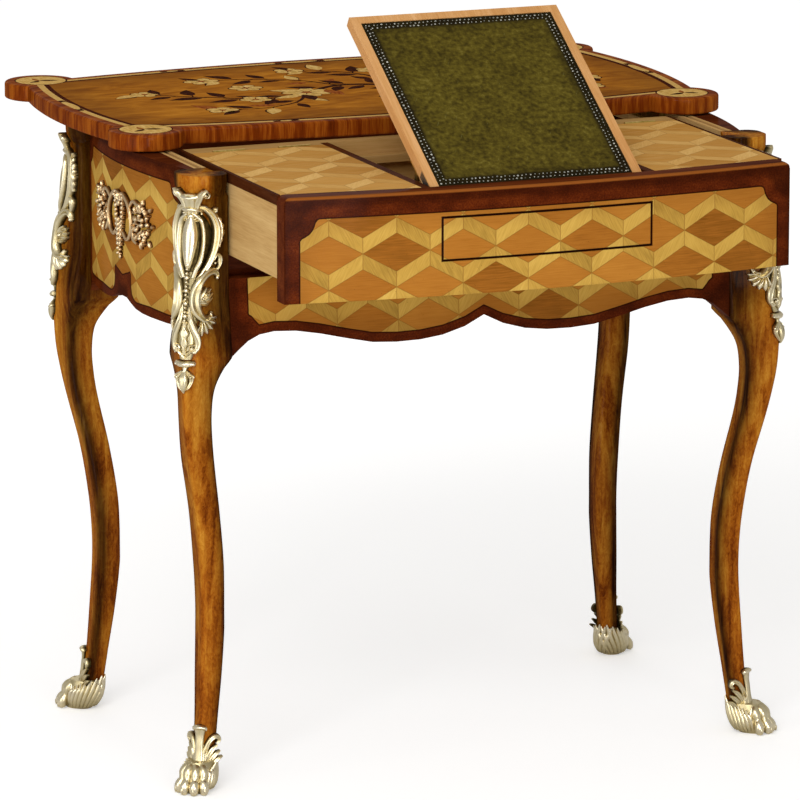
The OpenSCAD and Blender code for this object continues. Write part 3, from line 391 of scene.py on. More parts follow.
class Ornament:
    """Cast ornament drawn flat, as [across, height, lift]; relief is 0 in the hollows and 1 on the crests.
    The bronze finish paints patina and shade into the hollows and a highlight onto the crests from it.
    """

    def __init__(self):
        self.parts = []

    def put(self, points, faces, relief, both=False):
        """Keeps one part's points, faces and relief; both adds its mirror image."""
        self.parts.append((points, faces, relief))
        if both:
            self.parts.append((points * [-1, 1, 1], faces, relief))

    def band(self, knots, count=26, groove=0.0, lobes=0, both=False, bright=1.0, rows=9):
        """Band along a smooth curve: its section is a dome over straight sides, grooved along the
        middle and scalloped by lobes. Knots are [across, height, lift, half width, rise]."""
        line = flow(knots, count)
        way = np.gradient(line[:, :2], axis=0)
        way /= np.linalg.norm(way, axis=1)[:, None]
        side = np.stack([way[:, 1], -way[:, 0]], -1)
        wave = 1 + (0.28 * np.cos(2 * PI * lobes * np.linspace(0, 1, count)) if lobes else 0)
        turn = np.linspace(0, PI, rows)
        half = line[:, 3:4] * np.reshape(wave * np.ones(count), (-1, 1))
        dome = np.sin(turn) ** 0.8 * (1 - groove * np.exp(-((np.cos(turn) / 0.33) ** 2)))
        across = np.concatenate([half * np.cos(turn), -half * 0.95, half * 0.95], 1)
        lift = np.concatenate([line[:, 2:3] + line[:, 4:5] * dome, np.full((count, 2), -SUNK)], 1)
        flat = line[:, None, :2] + across[..., None] * side[:, None]
        rings = np.concatenate([flat, lift[..., None]], -1)
        # Relief follows the dome: painted shade on the band's sides and a painted highlight on its crest,
        # scaled by bright; bright 0 leaves it dark all over.
        relief = np.concatenate([np.broadcast_to(dome * bright, (count, rows)), np.zeros((count, 2))], 1)
        points, faces = skin(rings)
        self.put(points, faces, np.r_[relief.ravel(), bright * 0.5, bright * 0.5], both)

    def bead(self, s, h, r, lift=0.0, rise=None, tall=1.0, both=False):
        """Half-sunk ball, or an egg where tall isn't 1."""
        lat = np.radians([-50, -15, 15, 40, 65, 82])[:, None]
        lon = np.arange(8) * PI / 4
        rise = r if rise is None else rise
        rings = np.stack([s + r * np.cos(lat) * np.cos(lon), h + r * tall * np.cos(lat) * np.sin(lon),
                          lift + rise * np.sin(lat) + 0 * lon], -1)
        points, faces = skin(rings)
        # Relief rises to the bead's top: painted shade at its foot and a painted highlight on top.
        relief = np.broadcast_to(np.clip(np.sin(lat) * 1.1 + 0.1, 0, 1), (6, 8)).ravel()
        self.put(points, faces, np.r_[relief, 0, 1], both)

    def fan(self, s, h, aim, radius, spread, flutes, rise=5.0, both=False, inner=0.18):
        """Fluted shell: a fan round a point, its rim scalloped and its flutes raised like a wave."""
        u = np.linspace(inner, 1, 8)[:, None]
        v = np.linspace(-1, 1, 6 * flutes + 1)
        wave = np.abs(np.cos(PI * flutes * (v + 1) / 2))
        reach = radius * u * (1 - 0.16 * (1 - wave) * u**3)
        angle = np.radians(aim + spread * v)
        lift = 1 + rise * np.sin(PI * (0.12 + 0.72 * u)) * (0.55 + 0.45 * wave)
        top = np.stack([s + reach * np.cos(angle), h + reach * np.sin(angle), lift], -1)
        low = top * [1, 1, 0] - [0, 0, SUNK]
        points, front, rest = slab(top, low)
        # Flute crests lighter than their troughs: painted highlight and painted shade; the sunk underside is
        # 0.
        relief = (0.5 + 0.5 * wave + 0 * u).ravel()
        self.put(points, front + rest, np.r_[relief, np.zeros(relief.size)], both)

    def spray(self, s, h, aims, lengths, width=2.4, rise=5.0, bend=25.0, both=False):
        """Leaf sprays: tongues that start together and part, each bending away from the middle."""
        middle = (len(aims) - 1) / 2
        for k, (aim, length) in enumerate(zip(aims, lengths)):
            turn = bend * (k - middle) / max(middle, 1)
            t = np.array([0, 0.35, 0.7, 1.0])
            angle = np.radians(aim + turn * t)
            x, y = s + length * t * np.cos(angle), h + length * t * np.sin(angle)
            half = width * np.array([0.55, 0.9, 1.0, 0.35])
            high = rise * np.array([0.5, 0.85, 1.0, 0.7])
            self.band(np.stack([x, y, 0.6 + 0 * x, half, high], -1), 10, 0.3, 0, both, rows=7)

    def curl(self, s, h, r, start, turns, half=2.0, rise=5.0, both=False, lift=0.8):
        """Scroll that winds in towards its eye."""
        t = np.linspace(0, 1, 4 + int(8 * abs(turns)))
        angle = np.radians(start) + 2 * PI * turns * t
        reach = r * (1 - 0.72 * t)
        knots = np.stack([s + reach * np.cos(angle), h + reach * np.sin(angle), lift + 1.2 * t,
                          half * (1 - 0.45 * t), rise + 0 * t], -1)
        self.band(knots, 14 + int(16 * abs(turns)), 0.0, 0, both, rows=7)
        self.bead(s, h, r * 0.36, rise, r * 0.5, both=both)

    def cast(self, solid, lay, *place):
        """Lays every part on what carries it and adds it to the solid."""
        for points, faces, relief in self.parts:
            laid = lay(points, *place)
            solid.add(laid, outwards(laid, faces), relief=relief)


def knee_ornament():
    """The knee mount: a flared neck, bars round an oval boss, two C-scrolls with shells and leaves,
    a husk string, a tapered foot with volutes, a collar and a bud."""
    o = Ornament()
    # Dark plate behind the bars and the boss, at relief 0: patina with painted shade in the channels between
    # the bars.
    o.band([[0, 98, 0, 6, 1.2], [0, 112, 0, 17, 1.4], [0, 132, 0, 23, 1.4], [0, 152, 0, 23, 1.4],
            [0, 168, 0, 13, 1.2], [0, 176, 0, 5, 1]], 24, bright=0.0)
    o.band([[0, 104, 0.3, 8, 1.6], [0, 92, 0.3, 11, 2], [0, 76, 0.3, 11, 2.2], [0, 60, 0.3, 13, 2.2],
            [0, 46, 0.3, 13, 2], [0, 38, 0.3, 9, 1.6]], 22, bright=0.35)
    o.band([[0, 168, 1, 4, 6], [0, 176, 1.5, 4.2, 7], [0, 186, 2, 5.5, 8], [0, 194, 2.5, 7, 8.5]], 16, 0.35)
    o.band([[3.5, 167, 1, 2.2, 5], [4.5, 176, 1.5, 2.6, 6.5], [7, 186, 2, 3.2, 8], [11.5, 193.5, 3, 3.4, 9],
            [17, 199, 4, 1.3, 7]], 20, 0.25, both=True)
    o.curl(14.5, 192, 5.2, 120, -0.9, 2.1, 8, both=True, lift=1.5)
    o.band([[-12, 193, 2.4, 2, 6], [0, 189.5, 3, 3, 8], [12, 193, 2.4, 2, 6]], 14)
    o.band([[-10, 173, 1.2, 2, 5], [0, 176, 2, 3, 8.4], [10, 173, 1.2, 2, 5]], 14)
    o.bead(0, 168, 3.2, 4, 4)
    o.bead(5.5, 167, 2.4, 3, 4, both=True)
    o.bead(9.5, 170, 2, 2, 4, both=True)
    o.band([[6, 178, 1.5, 2.4, 5], [13, 176.5, 2, 3.8, 7], [22, 168, 2.4, 4.7, 8],
            [27.5, 155, 2.4, 5.1, 8.5], [28.3, 141, 2.4, 5.1, 8.5], [26.5, 126, 2, 4.9, 8],
            [21.5, 112, 1.5, 4.4, 7], [14, 101, 1, 3.6, 6], [9, 95, 0.8, 2.4, 4]], 44, 0.34, both=True)
    o.band([[26, 169, 1, 2, 5], [32, 159, 1.6, 3, 7], [34, 146, 1.6, 3, 7], [32.5, 131, 1.2, 2.2, 5]],
           40, 0, 5, both=True)
    o.spray(23, 171, [75, 40, 5], [7, 8, 7], 2, 6, both=True)
    o.spray(30, 150, [60, 20, -30], [6, 7, 8], 1.9, 6, both=True)
    o.band([[19, 105, 0.6, 2, 4], [25, 115, 1.5, 2.8, 6], [30.5, 123, 2, 3, 7], [35.5, 118, 2, 3, 7],
            [35, 108, 1.5, 2.8, 6], [29, 103, 1, 2, 5]], 26, 0.3, 3, both=True)
    o.bead(30.5, 112.5, 2.4, 1, 4, both=True)
    o.band([[2.5, 171, 2, 1.8, 6], [8, 163, 2.5, 2.2, 8], [10.8, 149, 2.5, 2.6, 9], [11.2, 133, 2.5, 2.6, 9],
            [10, 118, 2, 2.5, 8], [7, 107, 1.5, 2.4, 6], [5, 98, 1, 2.6, 4]], 34, both=True)
    o.band([[0, 106, 1, 1.5, 4], [0, 112, 1, 3.4, 7], [0, 124, 1, 5.4, 9.5], [0, 138, 1, 6.6, 11],
            [0, 151, 1, 6.4, 10.5], [0, 162, 1, 4.6, 8], [0, 168, 1, 2, 5]], 30, rows=13)
    o.fan(0, 161, 90, 9, 78, 5, 6)
    for k, h in enumerate(np.linspace(113, 40, 16)):
        o.bead(0, h, 1.5 + 0.9 * (k % 3 == 0), 5.5 - 0.05 * k, 3.2, 1.25)
    for h in (86, 74, 62, 50):
        o.spray(0, h, [-50, -130], [5.5, 5.5], 1.5, 7)
    o.band([[35.5, 95, 1, 2.4, 5], [33, 101.5, 1.6, 3.6, 7], [26, 104, 2, 4.6, 8], [17.5, 99.5, 2, 5.2, 8.5],
            [11, 91, 2, 5.6, 9], [8.2, 79, 2, 5.6, 9.4], [9, 66, 2, 5.6, 9.4], [13.6, 55.5, 2, 5.2, 9],
            [20.5, 50, 2, 4.4, 8], [27.5, 52, 1.6, 3.2, 7], [30, 57.5, 1, 2.2, 5]], 60, 0.42, both=True)
    o.bead(34.5, 96, 3, 2, 5, both=True)
    o.bead(29, 55, 2.8, 2, 5, both=True)
    o.spray(12.5, 69, [84, 56, 28, 2, -26], [19, 21, 20, 18, 13], 3.6, 7, 22, both=True)
    o.spray(17, 74, [70, 34, 0], [10, 11, 9], 2.6, 8.4, 26, both=True)
    o.bead(17, 74, 2.6, 3, 5, both=True)
    o.fan(16, 53, -56, 22, 52, 5, 7.5, both=True, inner=0.1)
    o.band([[4.4, 70, 0.6, 1.8, 4], [4, 60, 1, 2.6, 6], [5.4, 50, 1.4, 3.2, 7], [8.4, 40, 1.6, 3.8, 7.5],
            [12, 29, 1.6, 4, 7.5], [12.6, 20, 1.4, 3.6, 7], [8.6, 12.5, 1.2, 3, 6.5]], 36, 0.25, both=True)
    o.curl(7.2, 17.5, 5.2, -80, 1.1, 2.1, 6, both=True)
    o.band([[0, 62, 0, 3, 3], [0, 44, 0, 7.5, 4], [0, 28, 0, 11, 4.6], [0, 14, 0, 10, 4.6], [0, 4, 0, 7, 4]],
           22, 0.3, bright=0.75)
    o.band([[0, 48, 2.5, 1.6, 4], [0, 36, 3, 3.8, 6.4], [0, 25, 3, 3.4, 6], [0, 10, 2.5, 1.6, 4]], 18, 0.3, 3)
    o.spray(0, 6, [62, 118], [15, 15], 2.6, 7, 24)
    o.band([[-10.5, 0.5, 1, 2.6, 4.5], [-5, -0.8, 2, 3.6, 6], [0, -1.2, 2.4, 3.8, 6.6], [5, -0.8, 2, 3.6, 6],
            [10.5, 0.5, 1, 2.6, 4.5]], 24)
    for s in (-8.5, -4.4, 0, 4.4, 8.5):
        o.bead(s, -0.8, 2.3, 6.2 - abs(s) * 0.18, 3)
    o.band([[0, -3, 1, 3.6, 3.5], [0, -8, 1, 2.4, 3.5], [0, -12, 1, 3.6, 4]], 10)
    o.band([[0, -9, 1, 2.5, 4.5], [0, -16, 1.6, 4, 7], [0, -24, 1.4, 3.4, 6.5], [0, -31, 1, 1.7, 4.5],
            [0, -34.5, 0.5, 0.7, 2.5]], 20, 0.3)
    o.band([[2, -9.5, 0.8, 2, 4], [6, -14, 1.2, 2.8, 6], [6.8, -21, 1, 2.5, 5.5], [4, -27.5, 0.8, 1.7, 4.5],
            [1.6, -31, 0.5, 1, 3]], 18, 0.3, both=True)
    o.curl(6.2, -15.5, 3.2, 100, -0.8, 1.4, 6, both=True)
    return o


def garland_ornament():
    """The side mount: flower bunches at both ends of a ribbon whose loops stand open, and a tail of
    husks. Here the height is the height above the floor."""
    o = Ornament()
    draw = np.random.default_rng(41)
    o.band([[0, 672, 1, 2, 4], [12, 674, 1.5, 2.6, 5], [25, 668, 1.5, 2.4, 5], [36, 655, 1.5, 2.2, 5],
            [39, 640, 1.5, 2.2, 5], [33, 627, 1.2, 2.2, 5], [22, 622, 1, 2.2, 4.5], [12, 628, 1, 2, 4.5]],
           40, 0.4, both=True)
    o.band([[34, 664, 1, 2, 4], [46, 671, 1.4, 2.4, 5], [58, 668, 1.4, 2.4, 5], [66, 660, 1, 2, 4]],
           18, 0.3, both=True)
    o.band([[40, 636, 1, 2, 4], [46, 626, 1.4, 2.3, 5], [54, 622, 1, 1.4, 4]], 14, 0.3, both=True)
    for k in range(12):
        h = 674 - 5.4 * k
        s = 8.5 * math.cos(min(k, 11) / 11 * PI / 2) + 3.2
        o.bead(s, h, 2.3 + 0.5 * (k % 2), 2.2, 4, 1.2, both=True)
        o.spray(s, h, [20, -40], [4.6, 4.8], 1.3, 5, both=True)
    for k in range(8):
        h = 642 - 5.6 * k
        o.bead(0, h, 3.4 - 0.24 * k, 3, 4.6, 1.2)
        o.spray(0, h, [-35, -145], [7.2 - 0.55 * k] * 2, 1.7, 5)
    o.bead(0, 598, 1.8, 1.5, 3, 1.5)
    o.spray(0, 664, [160, 125, 90, 55, 20], [10, 11, 9, 11, 10], 2.2, 6, 30)
    for s, h, r in ((0, 662, 4), (7, 667, 2.6), (-7, 667, 2.6), (14, 670, 2), (-14, 670, 2)):
        o.bead(s, h, r, 3, 4)
    for k in range(26):
        angle, far = 2 * PI * k * 0.382, 20 * math.sqrt((k + 0.6) / 26)
        s, h = 68 + far * math.cos(angle), 647 + far * math.sin(angle) * 1.05
        aim = math.degrees(angle) + draw.uniform(-25, 25)
        if k % 3 == 0:
            o.bead(s, h, draw.uniform(2.4, 3.4), 3.5, 4.2, both=True)
        else:
            length, rise = draw.uniform(6, 9), draw.uniform(5, 7.5)
            o.spray(s, h, [aim - 28, aim + 28], [length, length], 1.8, rise, both=True)
    for s, h, aim in ((86, 664, 40), (90, 648, 5), (84, 630, -45), (70, 668, 80), (66, 626, -95),
                      (52, 652, 170)):
        o.spray(s, h, [aim + 22, aim, aim - 22], [7, 8.5, 7], 1.9, 5, both=True)
    return o


def limb(path, radii, around=12):
    """Round limb through the points of a path with a radius at each; flat where it meets the floor."""
    path = flow(np.concatenate([path, np.reshape(radii, (-1, 1))], 1), 18)
    way = np.gradient(path[:, :3], axis=0)
    way /= np.linalg.norm(way, axis=1)[:, None]
    flat = np.stack([-path[:, 1], path[:, 0], 0 * path[:, 0]], -1)
    flat = flat / np.maximum(np.linalg.norm(flat, axis=1), 1e-6)[:, None]
    flat -= way * (flat * way).sum(1)[:, None]
    flat /= np.linalg.norm(flat, axis=1)[:, None]
    up = np.cross(way, flat)
    turn = 2 * PI * np.arange(around) / around
    rings = (path[:, None, :3] + path[:, 3, None, None]
             * (np.cos(turn)[:, None] * flat[:, None] + np.sin(turn)[:, None] * up[:, None]))
    rings[..., 2] = np.maximum(rings[..., 2], 0)
    return rings


# How far the paw stands out from the leg's axis
PAW_LEAN = 11.0


def paw_ornament():
    """Leaves of the sabot, drawn flat round the leg's outer corner: a middle tongue with a rolled tip,
    tongues at its sides that curl out, and flutes below."""
    o = Ornament()

    def leaf(knots, *rest, **more):
        """A band whose knots have their heights counted from the floor."""
        o.band(np.array(knots, float) - [0, KNEE, 0, 0, 0], *rest, **more)

    leaf([[0, 25, 7, 17, 3], [0, 31, 2.4, 16, 2.4], [0, 38, 0.3, 14, 2], [0, 46, 0.3, 10, 2],
          [0, 54, 0.3, 6, 1.6]], 26, 0.3, bright=0.6)
    leaf([[0, 25, 8, 6, 4], [0, 31, 3.4, 5, 3.6], [0, 44, 1, 4.6, 4], [0, 55, 1, 4, 4],
          [0, 65, 1, 4.4, 4], [0, 72, 1.6, 5, 4.6]], 26, 0.4)
    leaf([[-5, 71.5, 1.6, 2, 5], [-3.4, 74, 2.2, 2.6, 5.8], [0, 75, 2.6, 2.8, 6],
          [3.4, 74, 2.2, 2.6, 5.8], [5, 71.5, 1.6, 2, 5]], 16)
    leaf([[7, 25, 7, 3.6, 3.6], [5.6, 31, 3, 3.4, 3.4], [5.6, 43, 1, 3.2, 4], [8, 53, 1.4, 3.2, 4.4],
          [13, 61, 2, 3.2, 5], [19, 63, 2.4, 3.2, 5], [22.4, 58.5, 2, 2.6, 4.6], [19.5, 55, 1.6, 2, 4]],
         34, 0.3, both=True)
    leaf([[7.5, 28, 0.4, 3.2, 3.4], [9.5, 39, 1, 3.2, 4.2], [14, 47, 1.4, 3.6, 4.4],
          [20.5, 53, 1.6, 1.4, 3.6]], 22, 0.3, both=True)
    leaf([[11, 27, 0.4, 3.2, 3.4], [14, 36, 1, 3.2, 4.2], [19, 42, 1.4, 3.2, 4.4],
          [24.5, 46, 1.2, 1.2, 3.4]], 20, 0.3, both=True)
    leaf([[14.5, 26, 0.4, 3.2, 3.4], [19, 33, 1, 3, 4], [23.5, 37, 1.2, 2.6, 4],
          [28, 39, 1.2, 1.2, 3]], 18, 0.3, both=True)
    o.spray(3.6, 40 - KNEE, [78, 60], [13, 12], 1.6, 5.6, 18, both=True)
    return o


def paw(solid, side, end):
    """A lion's paw: a body whose heel leans back, four toes with a knuckle and a claw each, tendons
    between them, and tufts sweeping up the heel."""
    turn = 2 * PI * np.arange(40) / 40
    # [height, radius, more of it ahead, more of it behind]
    table = np.array([[0, 11.5, 9, 0], [6, 15.5, 9, 0.5], [14, 17.5, 7, 3], [22, 17.5, 4, 6.5],
                      [29, 17, 2, 9], [FEET_TOP, 15, 0, 10]], float)
    z = np.linspace(0, FEET_TOP, 22)
    rows = hermite(z, table[:, 0], table)
    ahead = np.cos(turn - PI / 4)
    r = rows[:, 1:2] + rows[:, 2:3] * np.maximum(0, ahead) ** 2 + rows[:, 3:4] * np.maximum(0, -ahead) ** 2
    body = np.stack([r * np.cos(turn), r * np.sin(turn), z[:, None] + 0 * r], -1)
    parts = [(skin(body), 0.5, 0.5)]

    def add(angle, points, radii, low, high, around=8):
        """Limb through [radius, turn, height], its relief running from low near the axis to high."""
        way, far, h = (np.array(column, float) for column in zip(*[(angle + t, r, h) for r, t, h in points]))
        heel = np.interp(h, table[:, 0], table[:, 3]) * np.maximum(0, -np.cos(np.radians(way))) ** 2
        a = np.radians(45 + way)
        path = np.stack([np.cos(a) * (far + heel), np.sin(a) * (far + heel), h], -1)
        parts.append((skin(limb(path, radii, around)), low, high))

    for angle, reach in ((-38, 0.92), (-12.5, 1.0), (12.5, 1.0), (38, 0.92)):
        add(angle, [(9, 0, 31), (15 * reach, angle * 0.1, 29.5), (20.5 * reach, angle * 0.1, 24),
                    (22 * reach, 0, 17.5), (26 * reach, 0, 12), (28 * reach, 0, 7), (26.5 * reach, 0, 2)],
            [4.4, 5.6, 5.8, 4.7, 5.8, 6, 4.4], 0.35, 1.0, 12)
        add(angle, [(31 * reach, 0, 9.5), (33.2 * reach, 0, 6), (33 * reach, 0, 2)],
            [1.6, 1.7, 1.0], 0.7, 0.9)
        add(angle * 1.2, [(12, 0, 36), (16.5 * reach, angle * 0.3, 30), (20 * reach, angle * 0.5, 22)],
            [1.6, 2.6, 2.2], 0.6, 1.0)
    for k in range(9):
        for way in (-1, 1):
            rise = 1.0 - 0.05 * abs(k - 6)
            add(way * (48 + 15 * k), [(15.5, 0, 4), (18.6, way * 9, 12), (18.4, way * 20, 23),
                                      (17.2, way * 28, 34 * rise), (19.2, way * 33, 43 * rise)],
                [2.4, 3.1, 3.1, 2.6, 0.8], 0.35, 1.0)
    for (points, faces), low, high in parts:
        # Relief grows out from the axis and upwards: painted highlight on the outer parts, painted shade near
        # the axis and the floor.
        far = np.linalg.norm(points[:, :2], axis=1) + points[:, 2] * 0.2
        share = (far - far.min()) / max(np.ptp(far), 1e-6)
        laid = mirrored(points + [PAW_LEAN, PAW_LEAN, 0], side, end)
        solid.add(laid, outwards(laid, faces), relief=low + (high - low) * share**1.3)


def finish_casting(solid, node, finish):
    """Makes a cast piece that replaces its node on the case."""
    finish_piece(solid, node + "_bronze", "case", finish, node, 50)


def make_feet(finish):
    """The four sabots: paw, leaves, and a collar that runs up round the leg from inside the paw."""
    leaves = paw_ornament()
    rings, _ = leg_rings(np.linspace(30, FEET_TOP + 1.5, 5), np.linspace(0.8, 0.5, 5)[:, None])
    collar, collar_faces = skin(rings)
    for name, (side, end) in CORNERS.items():
        solid = Solid()
        paw(solid, side, end)
        points = mirrored(collar, side, end)
        solid.add(points, outwards(points, collar_faces), relief=np.full(len(points), 0.3))
        leaves.cast(solid, on_corner, side, end)
        finish_casting(solid, "sabot_" + name, finish)


def make_mounts(finish, side_finish):
    """The four knee mounts and the two side garlands."""
    knee, garland = knee_ornament(), garland_ornament()
    for name, (side, end) in CORNERS.items():
        solid = Solid()
        knee.cast(solid, on_corner, side, end)
        finish_casting(solid, "knee_mount_" + name, finish)
    for name, side in (("left", -1), ("right", 1)):
        solid = Solid()
        garland.cast(solid, on_panel, side)
        finish_casting(solid, "side_mount_" + name, side_finish)


def depth_inside(points, outline):
    """Distance from each flat point to a closed outline, positive inside it."""
    start, end = outline, np.roll(outline, -1, 0)
    edge = end - start
    away = points[:, None] - start
    share = np.clip((away * edge).sum(-1) / np.maximum((edge * edge).sum(-1), 1e-9), 0, 1)
    gap = np.linalg.norm(away - share[..., None] * edge, axis=-1).min(1)
    x, y = points[:, :1], points[:, 1:]
    with np.errstate(divide="ignore", invalid="ignore"):
        crossing = edge[:, 0] * (y - start[:, 1]) / edge[:, 1] + start[:, 0]
    hits = ((start[:, 1] > y) != (end[:, 1] > y)) & (x < crossing)
    return np.where(hits.sum(1) % 2 == 1, gap, -gap)


# The frame's upper corners: a quarter disc of mahogany between two small steps, from the side up
CUSP = np.array([[0, -24], [0.6, -22.6], [2, -21.8], [8, -19.2], [12.5, -15.5], [15.8, -10.5], [17.6, -4.6],
                 [18.3, -2], [20, -0.5], [23, 0]], float)


def both_halves(half):
    """Closed outline from its right half, listed from the bottom middle round to the top middle."""
    half = np.asarray(half, float)
    return np.concatenate([half, half[::-1] * [-1, 1]])


def inlaid_board(name, outer, inner, flat, outline, body, finishes, node, keep=None):
    """Closed board between two grids: the first finish on its outer face, the second behind it. Its marks
    are the face's flat coordinates and their depth inside the frame's outline."""
    points, front, rest = slab(outer, inner, keep)
    u, v = (values.ravel() for values in flat)
    lay = np.stack([u, v, depth_inside(np.stack([u, v], -1), outline)], -1)
    solid = Solid()
    solid.add(points, front + rest, (0, 1), lay=np.concatenate([lay, lay]))
    finish_piece(solid, name, body, finishes, node)


# The boards' scalloped lower edges, [distance from the middle, depth below the case's top]
FRONT_EDGE = np.array([
    [0, 187], [24, 199], [52, 207], [80, 210.5], [110, 211], [140, 209], [172, 202], [205, 194],
    [235, 188.5], [262, 187], [280, 189.5], [294, 196], [305, 205], [315, 214]], float)
SIDE_EDGE = np.array([
    [0, 177], [14, 177], [26, 181], [41, 185.5], [60, 187.5], [78, 188], [100, 188], [123, 188],
    [144, 187], [154, 189.5], [161, 195], [166, 203]], float)


def scalloped_board(name, y_out, y_in, top, end, outline, finishes, node):
    """Board across the table with a scalloped lower edge, swelling over its height like a quarter sine."""
    x = np.unique(np.r_[np.linspace(-315, 315, 181), -FRONT_EDGE[1:, 0], FRONT_EDGE[:, 0]])
    low = CASE_TOP - np.interp(np.abs(x), FRONT_EDGE[:, 0], FRONT_EDGE[:, 1])
    z = low + (top - low) * np.linspace(0, 1, 34)[:, None]
    y = y_out + 5 * np.sin(PI / 2 * np.clip((top - z) / (top - low.min()), 0, 1))
    outer = np.stack([x + 0 * z, end * y + TABLE, z], -1)
    inner = np.stack([x + 0 * z, end * y_in + TABLE + 0 * z, z], -1)
    inlaid_board(name, outer, inner, (outer[..., 0], z), outline, "case", finishes, node)


def lower_border(edge, rise, limit):
    """The frame's lower line: the board's lower edge moved up, out to the limit."""
    keep = edge[:, 0] < limit
    x = np.r_[edge[keep, 0], limit]
    return np.stack([x, CASE_TOP - np.interp(x, edge[:, 0], edge[:, 1]) + rise], -1)


def make_boards(panel_finishes, apron_finishes):
    """The front apron, the back panel and the bowed side panels, each with its frame's outline."""
    line = lower_border(FRONT_EDGE, 12, 280)
    corner_step = [[285, 556], [289, 561]]
    apron = both_halves(np.concatenate([line, corner_step, [[292.5, 563], [292.5, 640]]]))
    scalloped_board("front_apron_parquetry", 213, 195, 605, -1, apron, apron_finishes, "front_apron")
    back = both_halves(np.concatenate([line, corner_step, [[297, 563]], CUSP * [-1, 1] + [297, 706]]))
    scalloped_board("back_panel_parquetry", 204, 188, CASE_TOP, 1, back, apron_finishes, "back_panel")
    side_line = [[0, 577], [5, 578], [12, 580.5], [19, 582], [24.5, 584.5], [28, 582], [28.6, 566], [31, 558],
                 [37, 552.8], [44, 551], [80, 552.5], [126, 551], [146, 551.5], [151, 556]]
    side = both_halves(np.concatenate([side_line, CUSP * [-1, 1] + [151, 707]]))
    y = np.unique(np.r_[np.linspace(-PANEL_HALF, PANEL_HALF, 121), -SIDE_EDGE[1:, 0], SIDE_EDGE[:, 0]])
    low = CASE_TOP - np.interp(np.abs(y), SIDE_EDGE[:, 0], SIDE_EDGE[:, 1])
    z = low + (CASE_TOP - low) * np.linspace(0, 1, 64)[:, None]
    y = y + 0 * z
    for name, sign in (("left", -1), ("right", 1)):
        outer = np.stack([sign * panel_x(y), y + TABLE, z], -1)
        inner = np.stack([sign * 340 + 0 * z, y + TABLE, z], -1)
        inlaid_board("side_panel_" + name + "_parquetry", outer, inner, (y, z), side, "case",
                     panel_finishes, "side_panel_" + name)


def lines(low, high, step, *stops):
    """Grid lines from low to high about a step apart, with the stops among them."""
    ends = np.unique(np.r_[low, high, stops])
    parts = [
        np.linspace(a, b, max(2, int(round((b - a) / step)) + 1))[:-1]
        for a, b in zip(ends[:-1], ends[1:])]
    return np.r_[np.concatenate(parts), high]


FRONT_HALF, PEN_HALF = 313.0, 129.5
FRONT_LOW, PEN_LOW, PEN_HIGH, PEN_GAP = 606.5, 647.0, 697.0, 0.8


def front_out(x):
    """How far the drawer front's bowed outer face stands before the drawer's middle: a parabola in plan."""
    return 211.5 + 23 * (1 - (x / FRONT_HALF) ** 2)


def front_in(x):
    """The same for its inner face: straight between the partitions, then slanting to the ends."""
    return np.interp(np.abs(x), [144, 301], [front_out(144) - 24, 187.5])


def round_corners(x, z, half, top, r):
    """Moves the points of a square upper corner onto arcs round its middle, ring by ring."""
    dx, dz = np.abs(x) - (half - r), z - (top - r)
    ring = np.maximum(dx, dz)
    inside = (dx > 0) & (dz > 0)
    share = np.where(dx >= dz, 0.5 * dz / np.maximum(dx, 1e-6), 1 - 0.5 * dx / np.maximum(dz, 1e-6))
    moved_x = np.sign(x) * (half - r + ring * np.cos(share * PI / 2))
    moved_z = top - r + ring * np.sin(share * PI / 2)
    return np.where(inside, moved_x, x), np.where(inside, moved_z, z)


def ease_in(rim, ease):
    """How far a face falls back near its edge, for a quarter round of the given radius."""
    return ease - np.sqrt(np.maximum(ease**2 - np.maximum(ease - rim, 0) ** 2, 0))


def make_drawer_fronts(front_finishes):
    """The bowed drawer front with its opening, and the pen drawer's front in it, with eased edges."""
    frame_line = both_halves(np.concatenate([[[0, 560], [295, 560]], CUSP * [-1, 1] + [295, 702.5]]))
    hole_x, hole_low, hole_high = PEN_HALF + PEN_GAP, PEN_LOW - PEN_GAP, PEN_HIGH + PEN_GAP
    for name, body, half, low, high, hole in (
            ("drawer_front", "drawer", FRONT_HALF, FRONT_LOW, CASE_TOP, True),
            ("pen_drawer_front", "pen_drawer", PEN_HALF, PEN_LOW, PEN_HIGH, False)):
        ease, top_ease = (1.2, 3.0) if hole else (0.5, 0.5)
        x = lines(-half, half, 4, *[s * (half - d) for s in (-1, 1) for d in (ease * 0.3, ease, 8)],
                  *((-hole_x, hole_x) if hole else ()))
        z = lines(low, high, 4, low + ease * 0.3, low + ease, high - 8,
                  *[high - top_ease * part for part in (0.08, 0.3, 0.6, 1)],
                  *((hole_low, hole_high) if hole else ()))
        gx, gz = np.meshgrid(x, z)
        back = np.maximum(ease_in(np.minimum.reduce([gx + half, half - gx, gz - low]), ease),
                          ease_in(high - gz, top_ease))
        wx, wz = round_corners(gx, gz, half, high, 8.0) if hole else (gx, gz)
        outer = np.stack([wx, DRAWER - front_out(wx) + back, wz], -1)
        inner = np.stack([wx, DRAWER - front_in(wx), wz], -1)
        cx, cz = np.meshgrid((x[1:] + x[:-1]) / 2, (z[1:] + z[:-1]) / 2)
        keep = ~((np.abs(cx) < hole_x) & (cz > hole_low) & (cz < hole_high)) if hole else None
        inlaid_board(name + "_parquetry", outer, inner, (wx, wz), frame_line, body,
                     front_finishes, name, keep)


LOBE_X, LOBE_Y, LOBE_R = 344.0, 188.0, 44.0
HALF_W, HALF_D, FRONT_BOW, SIDE_BOW = 387.0, 219.0, 32.0, 22.0
FRONT_R = (LOBE_X**2 + FRONT_BOW**2) / (2 * FRONT_BOW)
SIDE_R = (LOBE_Y**2 + SIDE_BOW**2) / (2 * SIDE_BOW)


